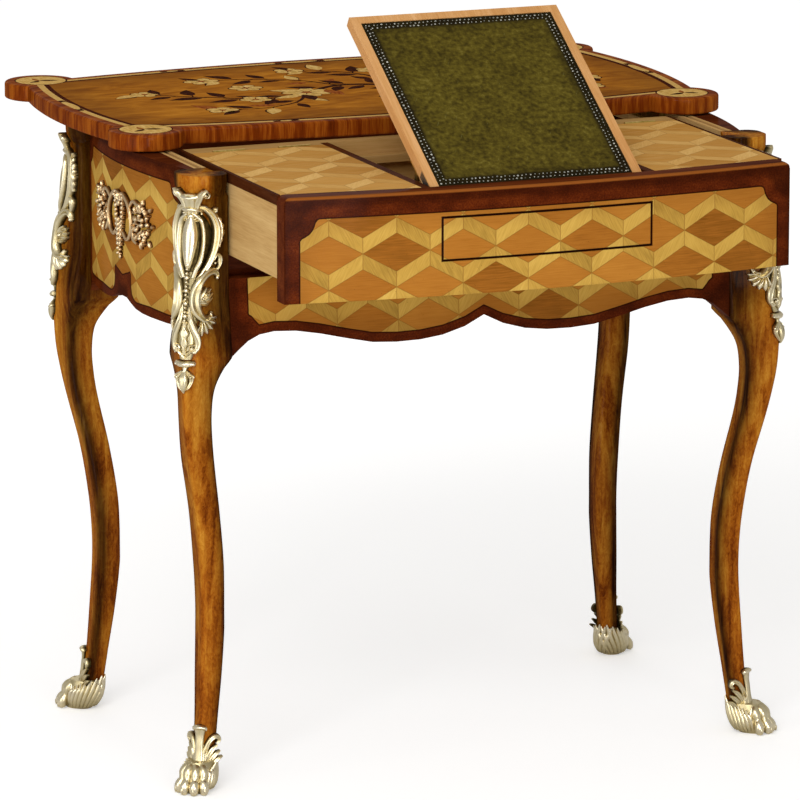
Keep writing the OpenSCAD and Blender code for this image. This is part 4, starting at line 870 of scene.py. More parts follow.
def meeting(centre, r, inset):
    """Outer meeting point of a bowed edge's circle and the corner lobe's circle, both drawn in by inset."""
    c, lobe = np.array(centre), np.array([LOBE_X, LOBE_Y])
    a, b = r - inset, LOBE_R - inset
    gap = np.linalg.norm(lobe - c)
    along = (a * a - b * b + gap * gap) / (2 * gap)
    off = math.sqrt(max(a * a - along * along, 0))
    way = (lobe - c) / gap
    side = np.array([-way[1], way[0]])
    both = [c + way * along + side * off, c + way * along - side * off]
    return min(both, key=lambda p: np.linalg.norm(p) if r != FRONT_R else abs(p[0]))


def top_outline(inset):
    """The top's outline drawn in by inset: bowed sides and ends between four corner lobes, anticlockwise."""
    side_c, front_c = (HALF_W - SIDE_R, 0.0), (0.0, HALF_D - FRONT_R)
    m = meeting(side_c, SIDE_R, inset)
    n = meeting(front_c, FRONT_R, inset)
    end = math.atan2(m[1], m[0] - side_c[0])
    angle = np.linspace(0, end, 70)
    side = np.stack([side_c[0] + (SIDE_R - inset) * np.cos(angle), (SIDE_R - inset) * np.sin(angle)], -1)
    a = math.atan2(m[1] - LOBE_Y, m[0] - LOBE_X)
    b = math.atan2(n[1] - LOBE_Y, n[0] - LOBE_X)
    if b < a:
        b += 2 * PI
    angle = np.linspace(a, b, 40)[1:-1, None]
    lobe = np.array([LOBE_X, LOBE_Y]) + (LOBE_R - inset) * np.concatenate([np.cos(angle), np.sin(angle)], 1)
    start = math.atan2(n[1] - front_c[1], n[0])
    angle = np.linspace(start, PI / 2, 110)
    bow = np.stack([(FRONT_R - inset) * np.cos(angle), front_c[1] + (FRONT_R - inset) * np.sin(angle)], -1)
    quarter = np.concatenate([side, lobe, bow])
    half = np.concatenate([quarter, quarter[-2::-1] * [-1, 1]])
    return np.concatenate([half, half[-2:0:-1] * [1, -1]])


def ring_piece(solid, profile, number=0):
    """Closed ring round the top with a profile of [inset, height], its marks the way along and across."""
    base = top_outline(0)
    along = length_along(base)
    rings = np.stack([np.concatenate([top_outline(i), np.full((len(base), 1), h)], 1) for i, h in profile], 1)
    rings[..., 1] += TOP
    points = rings.reshape(-1, 3)
    faces = [grid_faces(len(base), len(profile), True, True)]
    inset = np.array([i for i, _ in profile], float)
    lay = np.stack([np.repeat(along, len(profile)), np.tile(inset, len(base)), points[:, 2]], -1)
    solid.add(points, outwards(points, faces), number, lay=lay)


def leaf_shape(x, y, aim, length, width, bend=0.0):
    """Pointed leaf from its stalk: half a sine wave to either side of a slightly bent midrib."""
    t = np.linspace(0, 1, 9)
    half, rib = width / 2 * np.sin(PI * t**0.8), bend * np.sin(PI * t)
    u = np.r_[t, t[-2:0:-1]] * length
    v = np.r_[rib + half, (rib - half)[-2:0:-1]]
    c, d = math.cos(math.radians(aim)), math.sin(math.radians(aim))
    return np.stack([x + u * c - v * d, y + u * d + v * c], -1)


def oval_shape(x, y, aim, long, wide, corners=28, power=1.0):
    """Oval round a point; a power below 1 squares it."""
    turn = 2 * PI * np.arange(corners) / corners
    u = long / 2 * np.sign(np.cos(turn)) * np.abs(np.cos(turn)) ** power
    v = wide / 2 * np.sign(np.sin(turn)) * np.abs(np.sin(turn)) ** power
    c, d = math.cos(math.radians(aim)), math.sin(math.radians(aim))
    return np.stack([x + u * c - v * d, y + u * d + v * c], -1)


# The inlays' finish numbers, how deep they reach, and the small step that keeps overlapping ones apart
DARK, PALE, RED = 3, 4, 5
INLAY_DEPTH, INLAY_STEP = 0.6, 0.0015


class Marquetry:
    """Flat shapes let into the top's face, each a closed skin that ends a little below the top. Their marks
    are the place and a chance number, so that each is its own cut of wood."""

    def __init__(self, solid):
        self.solid = solid
        self.count = 0

    def lay(self, outline, number, sunk):
        self.count += 1
        sunk += INLAY_STEP * (self.count % 5)
        rings = np.stack([np.c_[outline, np.full(len(outline), TABLE_H - d)] for d in (INLAY_DEPTH, sunk)])
        points, faces = skin(rings + [0, TOP, 0])
        own = np.c_[points[:, :2], np.full(len(points), random.random())]
        self.solid.add(points, outwards(points, faces), number, lay=own)

    def stem(self, knots, start, end, count=40):
        """Branch along a smooth curve, its half width running from start to end; returns its line."""
        line = flow(knots, count)
        way = np.gradient(line, axis=0)
        way /= np.linalg.norm(way, axis=1)[:, None]
        across = np.stack([-way[:, 1], way[:, 0]], -1) * np.linspace(start, end, count)[:, None]
        sides = [(-1, INLAY_DEPTH), (1, INLAY_DEPTH), (1, 0.07), (-1, 0.07)]
        rings = np.stack([np.c_[line + across * s, np.full(count, TABLE_H - d)] for s, d in sides], 1)
        points, faces = skin(rings + [0, TOP, 0])
        lay = np.c_[points[:, :2], np.full(len(points), 0.5)]
        self.solid.add(points, outwards(points, faces), DARK, lay=lay)
        return line, np.degrees(np.arctan2(way[:, 1], way[:, 0]))

    def flower(self, x, y, r, petals):
        """Open blossom with a dark edge, veins and an eye: its outline swings out once for each petal."""
        start = random.uniform(0, 360)
        turn = np.linspace(0, 2 * PI, 12 * petals, endpoint=False)
        swing = 0.6 + 0.4 * np.abs(np.cos(petals * (turn - math.radians(start)) / 2)) ** 0.6
        for size, wood, sunk in ((r + 1.8, DARK, 0.055), (r, PALE, 0.035)):
            reach = size * swing
            self.lay(np.stack([x + reach * np.cos(turn), y + reach * np.sin(turn)], -1), wood, sunk)
        for k in range(petals):
            self.lay(leaf_shape(x, y, start + 360 * (k + 0.5) / petals, r * 0.62, 1.5), DARK, 0.02)
        self.lay(oval_shape(x, y, 0, r * 0.42, r * 0.42, 14), RED, 0.005)

    def strip_oval(self, place, aim, block, long, wide):
        """Pale oval on a dark block that crosses the strip."""
        self.lay(oval_shape(*place, aim, block, 8.4, power=0.12), DARK, 0.055)
        self.lay(oval_shape(*place, aim, long, wide), PALE, 0.035)

    def leafy(self, knots, start, end):
        """Branch with leaves to left and right in turn, each on a short stalk."""
        step = 20.0
        line, aims = self.stem(knots, start, end)
        along = length_along(line)
        for k, s in enumerate(np.arange(step * 0.7, along[-1], step)):
            i = int(np.searchsorted(along, s))
            x, y = line[i]
            aim = aims[i] + (1 if k % 2 else -1) * random.uniform(35, 65)
            a = math.radians(aim)
            length = random.uniform(28, 46)
            tip = (x + 9 * math.cos(a), y + 9 * math.sin(a))
            self.stem([(x, y), tip], 1.1, 0.8, 3)
            number = random.choice([DARK, DARK, DARK, DARK, RED, PALE])
            if number == PALE:
                self.lay(leaf_shape(*tip, aim, length + 2, length * 0.42 + 2), DARK, 0.055)
            self.lay(leaf_shape(*tip, aim, length, length * 0.42, random.uniform(-3, 3)), number, 0.035)


def make_marquetry(solid):
    """Generic floral spray on the field, ovals on dark blocks along the strip, a disc on each lobe."""
    m = Marquetry(solid)
    for knots, start, end in (
            ([(78, -40), (30, 5), (-20, 20), (-75, -15), (-135, -40), (-200, -5), (-262, 42)], 6.5, 1.2),
            ([(-20, 20), (-52, 70), (-105, 100), (-165, 108)], 2.6, 1),
            ([(30, 5), (42, 70), (10, 120), (-38, 142)], 3.6, 1),
            ([(-75, -15), (-110, -75), (-160, -102), (-214, -98)], 2.6, 1),
            ([(78, -40), (125, 20), (180, 30), (240, 2), (285, -38)], 6.5, 1.2),
            ([(125, 20), (150, 82), (205, 108), (258, 92)], 2.6, 1),
            ([(125, 20), (165, -42), (215, -88), (262, -98)], 2.6, 1)):
        m.leafy(knots, start, end)
    for x, y, r, petals in (
            (-262, 42, 15, 5), (-165, 108, 19, 6), (-38, 142, 16, 5), (-214, -98, 17, 5), (285, -38, 15, 5),
            (258, 92, 18, 6), (262, -98, 16, 5), (-75, -15, 26, 7), (-132, 42, 18, 6), (125, 20, 24, 7),
            (18, -78, 19, 6), (-150, -40, 17, 5), (60, 112, 17, 6)):
        m.flower(x, y, r * 1.15, petals)
    strip = top_outline((STRIP_IN + LINE_IN) / 2)
    small = [(x, side, 32, 15, 6.4) for side in (1, -1) for x in (-172, 172)]
    middle = [(0, side, 66, 48, 9) for side in (1, -1)]
    for x, side, block, long, wide in small + middle:
        reach = np.abs(strip[:, 0] - x) + 1000 * (np.sign(strip[:, 1]) != side)
        m.strip_oval(strip[np.argmin(reach)], 0.0, block, long, wide)
    for side in (-1, 1):
        reach = np.abs(strip[:, 1]) + 1000 * (np.sign(strip[:, 0]) != side)
        m.strip_oval(strip[np.argmin(reach)], 90.0, 78, 58, 12.5)
    for sx in (-1, 1):
        for sy in (-1, 1):
            x, y = sx * LOBE_X, sy * LOBE_Y
            m.lay(oval_shape(x, y, 0, 65, 65, 48), DARK, 0.07)
            m.lay(oval_shape(x, y, 0, 61, 61, 48), PALE, 0.05)
            for aim, length in ((200, 24), (-35, 20), (80, 17)):
                turn = aim if sx > 0 else 180 - aim
                wood = DARK if length > 18 else RED
                m.lay(leaf_shape(x + 2 * sx, y, turn, length, length * 0.36, 1.5), wood, 0.02)


# Where the pale strip, the dark line and the field begin, in from the top's edge, and its lower face
STRIP_IN, LINE_IN, FIELD_IN = 12, 20.5, 27
TOP_LOW = 730


def make_top(banding, sheet_finishes):
    """The top's face: moulded cross-grained banding, a pale strip, a dark line, the field inside and the
    marquetry let into them. The sheet lies a tenth of a millimetre low, so that the shapes stay below
    the top."""
    solid = Solid()
    turn = np.linspace(0, PI / 2, 7)
    upper_r, lower_r = 3.2, 2.6
    upper = [(upper_r - upper_r * math.sin(t), TABLE_H - upper_r + upper_r * math.cos(t)) for t in turn]
    lower = [(lower_r - lower_r * math.cos(t), TOP_LOW + lower_r - lower_r * math.sin(t)) for t in turn]
    profile = [(STRIP_IN, TABLE_H), (7, TABLE_H)] + upper + [(0, 742), (0, 737)] + lower
    ring_piece(solid, profile + [(7, TOP_LOW), (STRIP_IN, TOP_LOW)])
    finish_piece(solid, "top_banding_moulded", "top", banding, "top_banding", 40)
    sheet = Solid()
    face, t = TABLE_H - 0.1, TABLE_H - 1.2
    for number, (start, end) in enumerate([(STRIP_IN, LINE_IN), (LINE_IN, FIELD_IN)]):
        ring_piece(sheet, [(start, t), (start, face), (end, face), (end, t)], number)
    edge = top_outline(FIELD_IN)
    grid = np.stack(np.meshgrid(np.arange(-380, 381, 10.0), np.arange(-210, 211, 10.0)), -1).reshape(-1, 2)
    inner = grid[depth_inside(grid, edge) > 4]
    flat = np.concatenate([edge, inner])
    rim = [[k, (k + 1) % len(edge)] for k in range(len(edge))]
    points, _, faces, *_ = delaunay_2d_cdt([Vector(p) for p in flat], rim, [], 1, 1e-4)
    points = np.array([p[:] for p in points])
    faces = np.array(faces)
    corners = points[faces]
    area = np.cross(corners[:, 1] - corners[:, 0], corners[:, 2] - corners[:, 0])
    faces[area < 0] = faces[area < 0][:, ::-1]
    n = len(points)
    k = np.arange(len(edge))
    walls = np.stack([k, k + n, (k + 1) % len(edge) + n, (k + 1) % len(edge)], -1)
    both = np.concatenate([np.c_[points, np.full(n, face)], np.c_[points, np.full(n, t)]]) + [0, TOP, 0]
    lay = np.c_[points, depth_inside(points, edge)]
    sheet.add(both, [faces, faces[:, ::-1] + n, walls], 2, lay=np.concatenate([lay, lay]))
    make_marquetry(sheet)
    finish_piece(sheet, "top_marquetry_sheet", "top", sheet_finishes, "top_marquetry")


def make_leather(finish, silvered):
    """The slope's leather, softly rounded at its rim, and a double row of small tooled domes."""
    along = np.array([0, math.cos(SLOPE_TILT), math.sin(SLOPE_TILT)])
    up = np.array([0, -math.sin(SLOPE_TILT), math.cos(SLOPE_TILT)])

    def place(x, v, h):
        """Points across the slope, along it from its pivot, and above the pivot's plane."""
        return np.array(SLOPE_PIVOT) + x[..., None] * [1, 0, 0] + v[..., None] * along + h[..., None] * up

    half, low, high, under, face = 120.0, 5.0, 288.5, 4.9, 6.0
    x = lines(-half, half, 6, -half + 0.6, -half + 1.5, half - 0.6, half - 1.5)
    v = lines(low, high, 6, low + 0.6, low + 1.5, high - 0.6, high - 1.5)
    gx, gv = np.meshgrid(x, v)
    rim = np.minimum.reduce([gx + half, half - gx, gv - low, high - gv])
    uneven = 0.12 * np.sin(gx * 0.11 + 1) * np.sin(gv * 0.083)
    h = face - 0.7 * (1 - np.clip(rim / 1.5, 0, 1)) ** 2 + uneven
    points, front, rest = slab(place(gx, gv, h), place(gx, gv, 0 * gx + under))
    lay = np.stack([gx.ravel(), gv.ravel(), rim.ravel()], -1)
    solid = Solid()
    solid.add(points, front + rest, lay=np.concatenate([lay, lay]))
    finish_piece(solid, "slope_leather_tooled", "slope", finish, "slope_leather")
    dots = Solid()
    radius, pitch = 1.3, 5.2
    lat, lon = np.radians([0, 40, 75])[:, None], np.arange(6) * PI / 3
    ball, ball_faces = skin(np.stack([radius * np.cos(lat) * np.cos(lon), radius * np.cos(lat) * np.sin(lon),
                                      0.6 * np.sin(lat) + 0 * lon], -1))
    mid = (high + low) / 2
    for inset, shift in ((4.5, 0.0), (9.5, pitch / 2)):
        wide, tall = half - inset, (high - low) / 2 - inset
        across, upright = np.arange(-wide + shift, wide, pitch), np.arange(-tall + shift, tall, pitch)
        places = np.concatenate(
            [np.stack([across, 0 * across + mid + s * tall], -1) for s in (-1, 1)]
            + [np.stack([0 * upright + s * wide, mid + upright], -1) for s in (-1, 1)])
        size = random.uniform(0.6, 1.1, len(places))
        spots = places + random.normal(0, 0.32, places.shape)
        for (px, pv), s in zip(spots, size):
            points = place(px + ball[:, 0] * s, pv + ball[:, 1] * s, face - 0.15 + ball[:, 2] * s)
            dots.add(points, outwards(points, ball_faces))
    finish_piece(dots, "slope_leather_tooling", "slope", silvered)


def tint(code):
    """Linear colour of a six-figure sRGB code."""
    value = np.array([int(code[i:i + 2], 16) for i in (0, 2, 4)]) / 255
    return (*np.where(value <= 0.04045, value / 12.92, ((value + 0.055) / 1.055) ** 2.4), 1.0)


class Wire:
    """A value running through a finish; sums and products of wires become math nodes."""

    def __init__(self, finish, socket):
        self.finish, self.socket = finish, socket

    def math(self, operation, *others):
        node = self.finish.node("ShaderNodeMath", operation=operation)
        for slot, value in zip(node.inputs, (self,) + others):
            self.finish.plug(value, slot)
        return Wire(self.finish, node.outputs[0])

    def __add__(self, other):
        return self.math("ADD", other)

    def __sub__(self, other):
        return self.math("SUBTRACT", other)

    def __mul__(self, other):
        return self.math("MULTIPLY", other)

    def __truediv__(self, other):
        return self.math("DIVIDE", other)

    def below(self, limit, soft=0.0):
        """1 where the value is below the limit, 0 above it, with a soft step."""
        return self.between(limit + soft, limit - soft) if soft else self.math("LESS_THAN", limit)

    def between(self, low, high):
        """0 at low, 1 at high, clamped and smooth."""
        node = self.finish.node("ShaderNodeMapRange", interpolation_type="SMOOTHSTEP")
        self.finish.plug(self, node.inputs[0])
        limits = (low, high, 0.0, 1.0) if low < high else (high, low, 1.0, 0.0)
        for slot, value in zip(node.inputs[1:5], limits):
            slot.default_value = value
        return Wire(self.finish, node.outputs[0])


class Finish:
    """A material whose colour, gloss and relief are worked out by nodes. Its shine is a thin coat."""

    def __init__(self, name, roughness=0.4, metallic=0.0, coat=0.0, coat_roughness=0.12):
        self.material = bpy.data.materials.new(name)
        self.material.use_nodes = True
        self.tree = self.material.node_tree
        self.shader = self.tree.nodes["Principled BSDF"]
        for key, value in (("Roughness", roughness), ("Metallic", metallic), ("Specular IOR Level", 0.0),
                           ("Coat Weight", coat), ("Coat Roughness", coat_roughness)):
            self.shader.inputs[key].default_value = value

    def node(self, kind, **settings):
        node = self.tree.nodes.new(kind)
        for key, value in settings.items():
            setattr(node, key, value)
        return node

    def plug(self, value, slot):
        if isinstance(value, Wire):
            self.tree.links.new(value.socket, slot)
        else:
            slot.default_value = value

    def place(self, turn=0.0, centre=(0, 0, 0)):
        """Object coordinates in millimetres, turned round X about a centre."""
        spot = Wire(self, self.node("ShaderNodeTexCoord").outputs["Object"])
        shift = self.node("ShaderNodeMapping", vector_type="TEXTURE")
        self.plug(spot, shift.inputs["Vector"])
        shift.inputs["Location"].default_value = [c * MM for c in centre]
        shift.inputs["Rotation"].default_value = (turn, 0, 0)
        shift.inputs["Scale"].default_value = (MM, MM, MM)
        return Wire(self, shift.outputs["Vector"])

    def mark(self, name, vector=False):
        node = self.node("ShaderNodeAttribute", attribute_name=name)
        return Wire(self, node.outputs["Vector" if vector else "Fac"])

    def split(self, vector):
        node = self.node("ShaderNodeSeparateXYZ")
        self.plug(vector, node.inputs[0])
        return [Wire(self, out) for out in node.outputs]

    def join(self, *values):
        node = self.node("ShaderNodeCombineXYZ")
        for value, slot in zip(values, node.inputs):
            self.plug(value, slot)
        return Wire(self, node.outputs[0])

    def stretch(self, vector, x, y, z):
        node = self.node("ShaderNodeVectorMath", operation="MULTIPLY")
        self.plug(vector, node.inputs[0])
        node.inputs[1].default_value = (x, y, z)
        return Wire(self, node.outputs[0])

    def noise(self, vector, scale=1.0, detail=3.0, rough=0.55, bend=0.0):
        node = self.node("ShaderNodeTexNoise")
        self.plug(vector, node.inputs["Vector"])
        for key, value in (("Scale", scale), ("Detail", detail), ("Roughness", rough), ("Distortion", bend)):
            node.inputs[key].default_value = value
        return Wire(self, node.outputs["Fac"])

    def chance(self, vector):
        node = self.node("ShaderNodeTexWhiteNoise", noise_dimensions="3D")
        self.plug(vector, node.inputs["Vector"])
        return Wire(self, node.outputs["Value"])

    def spots(self, vector, scale, size):
        """1 inside small scattered spots, 0 outside."""
        node = self.node("ShaderNodeTexVoronoi", feature="F1")
        self.plug(vector, node.inputs["Vector"])
        node.inputs["Scale"].default_value = scale
        return Wire(self, node.outputs["Distance"]).between(size, size * 0.4)

    def ramp(self, value, *stops):
        node = self.node("ShaderNodeValToRGB")
        self.plug(value, node.inputs[0])
        ends = node.color_ramp.elements
        while len(ends) < len(stops):
            ends.new(0.5)
        for end, (at, code) in zip(ends, stops):
            end.position = at
            end.color = tint(code)
        return Wire(self, node.outputs[0])

    def mix(self, share, a, b):
        node = self.node("ShaderNodeMix", data_type="RGBA")
        self.plug(share, node.inputs[0])
        for value, slot in ((a, node.inputs[6]), (b, node.inputs[7])):
            self.plug(tint(value) if isinstance(value, str) else value, slot)
        return Wire(self, node.outputs[2])

    def colour(self, value):
        self.plug(value, self.shader.inputs["Base Color"])
        return self

    def gloss(self, value, low, high):
        self.plug(value * (high - low) + low, self.shader.inputs["Roughness"])
        return self

    def relief(self, height, distance, strength=0.6):
        node = self.node("ShaderNodeBump")
        self.plug(height, node.inputs["Height"])
        node.inputs["Distance"].default_value = distance * MM
        node.inputs["Strength"].default_value = strength
        self.tree.links.new(node.outputs[0], self.shader.inputs["Normal"])
        return self


# Where four tones of a wood lie along its grain's noise
FOUR_TONES = (0.2, 0.45, 0.7, 0.95)


def cubes(f, u, v, wide, high, rise, browns, lights, worn=0.5):
    """Tumbling-block parquetry on flat coordinates in millimetres: brown rhombi in rows half a step
    apart, pale faces between them, each piece its own tone, with joints, cross grain and specks."""
    pitch = high / 2 + rise
    across = u.math("PINGPONG", wide / 2) / (wide / 2)
    up = v.math("PINGPONG", pitch)
    first = across + up / (high / 2)
    second = (across * -1 + 1) + (up * -1 + pitch) / (high / 2)
    inside = first.math("MINIMUM", second)
    brown = inside.below(1.0, 0.012)
    lean = (u.math("WRAP", wide / 2, -wide / 2) * v.math("WRAP", pitch, -pitch)).math("SIGN")
    near = inside.math("SUBTRACT", 1.0).math("ABSOLUTE") * (high / 2 * 0.85)
    upright = across.math("MINIMUM", across * -1 + 1) * (wide / 2)
    joint = near.math("MINIMUM", upright + brown * 50).between(0.75, 0.1)
    spot = f.join((u / (wide / 2)).math("FLOOR"), (v / pitch).math("FLOOR"), brown)
    row_a = f.join((u / wide).math("ROUND"), (v / (2 * pitch)).math("ROUND"), 3.0)
    row_b = f.join((u / wide).math("FLOOR"), (v / (2 * pitch)).math("FLOOR"), 7.0)
    own_a, own_b, own_c = f.chance(row_a), f.chance(row_b), f.chance(spot)
    which = first.below(1.0)
    tone_brown = which * own_a + (which * -1 + 1) * own_b
    long_grain = f.noise(f.join(u * 0.035, v * 0.8, tone_brown * 40), 1.0, 5, 0.62)
    cross = f.noise(f.join((u + lean * v * 0.5) * 0.62, v * 0.05, own_c * 30), 1.0, 4, 0.6)
    cloud = f.noise(f.join(u * 0.02, v * 0.03, 5.0), 1.0, 2)
    warm = f.ramp(long_grain * 0.5 + tone_brown * 0.45 + cloud * 0.2 - 0.06, *zip(FOUR_TONES, browns))
    light = cross * 0.62 + own_c * 0.22 + lean * -0.06 + cloud * 0.3 - 0.06
    pale = f.ramp(light, *zip(FOUR_TONES, lights))
    wood = f.mix(brown, pale, warm)
    wood = f.mix(joint * 0.55, wood, "6B3F14")
    patches = f.noise(f.join(u * 0.03, v * 0.03, 9.0), 1.0, 1).between(0.45, 0.6)
    specks = f.spots(f.join(u, v, 2.0), 0.16, 0.11) * patches
    scratch = f.noise(f.join(u * 0.5 + v * 0.2, v * 0.02 + u * 0.01, 4.0), 1.0, 2).between(0.69, 0.74)
    wood = f.mix(specks * worn + scratch * (worn * 0.35), wood, "4A2508")
    return wood, long_grain * 0.4 + cross * 0.3 - joint * 0.8


def mahogany(f, u, v, dark, mid, light):
    """Polished mahogany crossbanding: short cross grain, a broad ribbon of lighter and darker wood."""
    fine = f.noise(f.join(u * 0.5, v * 0.5, 1.0), 1.0, 5, 0.6, 0.4)
    ribbon = f.noise(f.join(u * 0.03, v * 0.05, 6.0), 1.0, 2)
    return f.ramp(fine * 0.6 + ribbon * 0.5 - 0.05, (0.25, dark), (0.5, mid), (0.85, light)), fine


def parquetry_finish(name, wide, high, rise, shift, browns, lights, frame_tones, pen=False):
    """Inlaid board: cube parquetry inside the frame's outline; outside it mahogany, darker at both its
    edges. With pen, a dark string runs round the pen drawer, and a painted highlight lightens the board's top
    edge."""
    f = Finish(name, 0.32, coat=0.04, coat_roughness=0.1)
    u, v, depth = f.split(f.mark("lay", True))
    wood, height = cubes(f, u - shift[0], v - shift[1], wide, high, rise, browns, lights)
    shade = depth.between(26, 0) * 0.3
    wood = f.mix(shade, wood, "7A4A18")
    rim, fine = mahogany(f, u, v, *frame_tones)
    outside = depth.below(0.0, 0.25)
    black = "1A0602"
    rim = f.mix(depth.math("ABSOLUTE").between(2.6, 0.6) * 0.85, rim, black)
    rim = f.mix(depth.between(-9, -18) * 0.5, rim, black)
    wood = f.mix(outside, wood, rim)
    if pen:
        beside = u.math("ABSOLUTE") - PEN_HALF
        above = (v - (PEN_LOW + PEN_HIGH) / 2).math("ABSOLUTE") - (PEN_HIGH - PEN_LOW) / 2
        edge = beside.math("MAXIMUM", above)
        wood = f.mix((edge + 0.3).math("ABSOLUTE").between(1.7, 1.1), wood, "160602")
        # Painted highlight along the drawer front's rounded top arris.
        wood = f.mix(v.between(724, 726) * 0.85, wood, "8E501E")
    inlaid = height * (outside * -1 + 1)
    f.colour(wood).gloss(inlaid, 0.28, 0.44)
    return f.relief(inlaid + fine * 0.2, 0.3, 0.2)


def plain_wood(name, tones, along, roughness=0.5, coat=0.0, turn=0.0, centre=(0, 0, 0)):
    """Straight-grained wood: fine pores and broad figure, both drawn out along an axis, 0 to 2."""
    f = Finish(name, roughness, coat=coat)
    spot = f.place(turn, centre)
    fine_scale, broad_scale = [0.55] * 3, [0.05] * 3
    fine_scale[along] *= 0.045
    broad_scale[along] *= 0.12
    fine = f.noise(f.stretch(spot, *fine_scale), 1.0, 5, 0.6)
    broad = f.noise(f.stretch(spot, *broad_scale), 1.0, 3, 0.5, 0.6)
    pores = f.noise(f.stretch(spot, *[s * 2.6 for s in fine_scale]), 1.0, 2).between(0.6, 0.72)
    wood = f.ramp(fine * 0.5 + broad * 0.65 - 0.08, *zip(FOUR_TONES, tones))
    f.colour(f.mix(pores * 0.35, wood, tones[0]))
    f.gloss(fine, roughness - 0.06, roughness + 0.1)
    return f.relief(fine - pores * 0.6, 0.3, 0.35)


def leg_walnut():
    """Figured walnut: upright streaks, curl and flecks, nearly black along the side arrises with a dark glaze
    and painted shade where the faces turn away from the light.
    """
    f = Finish("leg_walnut_polished", 0.3, coat=0.06)
    spot = f.place()
    height = f.split(spot)[2]
    streak = f.noise(f.stretch(spot, 0.11, 0.11, 0.007), 1.0, 5, 0.62, 0.7)
    curl = f.noise(f.stretch(spot, 0.16, 0.16, 0.09), 1.0, 5, 0.66, 1.4)
    fleck = f.noise(f.stretch(spot, 0.6, 0.6, 0.25), 1.0, 3, 0.6)
    cloud = f.noise(f.stretch(spot, 0.04, 0.04, 0.012), 1.0, 2)
    tone = streak * 0.55 + curl * 0.35 + fleck * 0.16 + cloud * 0.4 + height.between(120, 420) * 0.05 - 0.24
    wood = f.ramp(tone, (0.28, "3E1604"), (0.4, "6E3206"), (0.5, "965211"), (0.6, "AE6E1E"), (0.8, "CF9638"))
    # The edge mark paints the arrises dark: a dark glaze with painted shade over it.
    edge = (f.mark("edge") * 1.25).math("MINIMUM", 1.0) * (streak * -0.5 + 1.15)
    return f.colour(f.mix(edge, wood, "140501")).gloss(fleck, 0.26, 0.42).relief(fleck, 0.3, 0.2)


def cast_bronze(name, *tones):
    """Worn gilt bronze: bright and polished on the crests with a painted highlight, dark and dull in the
    hollows with patina and painted shade.
    """
    f = Finish(name, 0.34, metallic=1.0)
    dirt = f.noise(f.stretch(f.place(), 0.22, 0.22, 0.22), 1.0, 4, 0.6)
    # Relief mark: painted highlight on the crests, patina and painted shade in the hollows; the noise is
    # cloudy tarnish.
    tone = f.mark("relief") * 0.95 + dirt * 0.35 - 0.12
    f.colour(f.ramp(tone, *zip((0.02, 0.22, 0.5, 0.75, 1.0), tones)))
    return f.gloss(tone, 0.5, 0.26).relief(dirt, 0.5, 0.15)


def banding_wood():
    """Ribbon-striped crossbanding, its stripes square to the top's edge."""
    f = Finish("banding_ribbon_striped", 0.26, coat=0.06, coat_roughness=0.1)
    u, w, z = f.split(f.mark("lay", True))
    stripe = f.noise(f.join(u * 0.11, w * 0.01, z * 0.01), 1.0, 5, 0.66)
    fine = f.noise(f.join(u * 0.9, w * 0.03, z * 0.03), 1.0, 3, 0.6)
    tone = stripe * 0.85 + fine * 0.3 - 0.1
    wood = f.ramp(tone, (0.25, "3C1203"), (0.45, "743008"), (0.62, "A25816"), (0.85, "CC8634"))
    return f.colour(wood).gloss(fine, 0.2, 0.34).relief(fine, 0.2, 0.15)


def inlay_wood(name, grain, *tones):
    """Fine-grained wood of a thin inlay, each shape its own cut."""
    f = Finish(name, 0.32, coat=0.02)
    u, w, own = f.split(f.mark("lay", True))
    fine = f.noise(f.join(u * grain, w * grain * 0.3, own * 20), 1.0, 4, 0.6)
    return f.colour(f.ramp(fine, *zip((0.3, 0.5, 0.75), tones))).gloss(fine, 0.26, 0.38)


def field_wood():
    """The top's figured field, shaded towards its edge."""
    f = Finish("top_field_figured", 0.3, coat=0.03, coat_roughness=0.1)
    u, v, depth = f.split(f.mark("lay", True))
    figure = f.noise(f.join(u * 0.012, v * 0.03, 0.0), 1.0, 4, 0.6, 1.2)
    fine = f.noise(f.join(u * 0.05, v * 0.5, 0.0), 1.0, 4, 0.6)
    tone = figure * 0.75 + fine * 0.35 - 0.05
    wood = f.ramp(tone, (0.25, "6E3A0A"), (0.45, "985A12"), (0.6, "B4721C"), (0.8, "CC8A2E"))
    return f.colour(f.mix(depth.between(70, 0) * 0.5, wood, "6A3C10")).gloss(fine, 0.24, 0.36)


def lid_parquetry():
    """Large pale cubes with fine streaks across."""
    f = Finish("lid_pale_parquetry", 0.42, coat=0.02)
    x, y, _ = f.split(f.place())
    wood, height = cubes(f, x - 20, y + 300, 80, 62, 26, ("A06A28", "BC863E", "CA964C", "D8A860"),
                         ("BA8A44", "D0A058", "DEB26A", "EAC482"), 0.25)
    streaks = f.noise(f.join(x * 0.02, y * 0.6, 0.0), 1.0, 4, 0.6).between(0.5, 0.68)
    return f.colour(f.mix(streaks * 0.35, wood, "E2BC7C")).gloss(height, 0.36, 0.5).relief(height, 0.3, 0.2)


def worn_metal(name, rough, *tones):
    """Dulled metal with cloudy dirt and fine scuffs."""
    f = Finish(name, rough, metallic=1.0)
    spot = f.place()
    dirt = f.noise(f.stretch(spot, 0.15, 0.15, 0.15), 1.0, 5, 0.65)
    scuff = f.noise(f.stretch(spot, 1.2, 0.12, 1.2), 1.0, 2)
    f.colour(f.ramp(dirt * 0.8 + scuff * 0.25, *zip((0.25, 0.42, 0.6, 0.8), tones)))
    return f.gloss(scuff, rough - 0.06, rough + 0.14).relief(scuff, 0.1, 0.2)


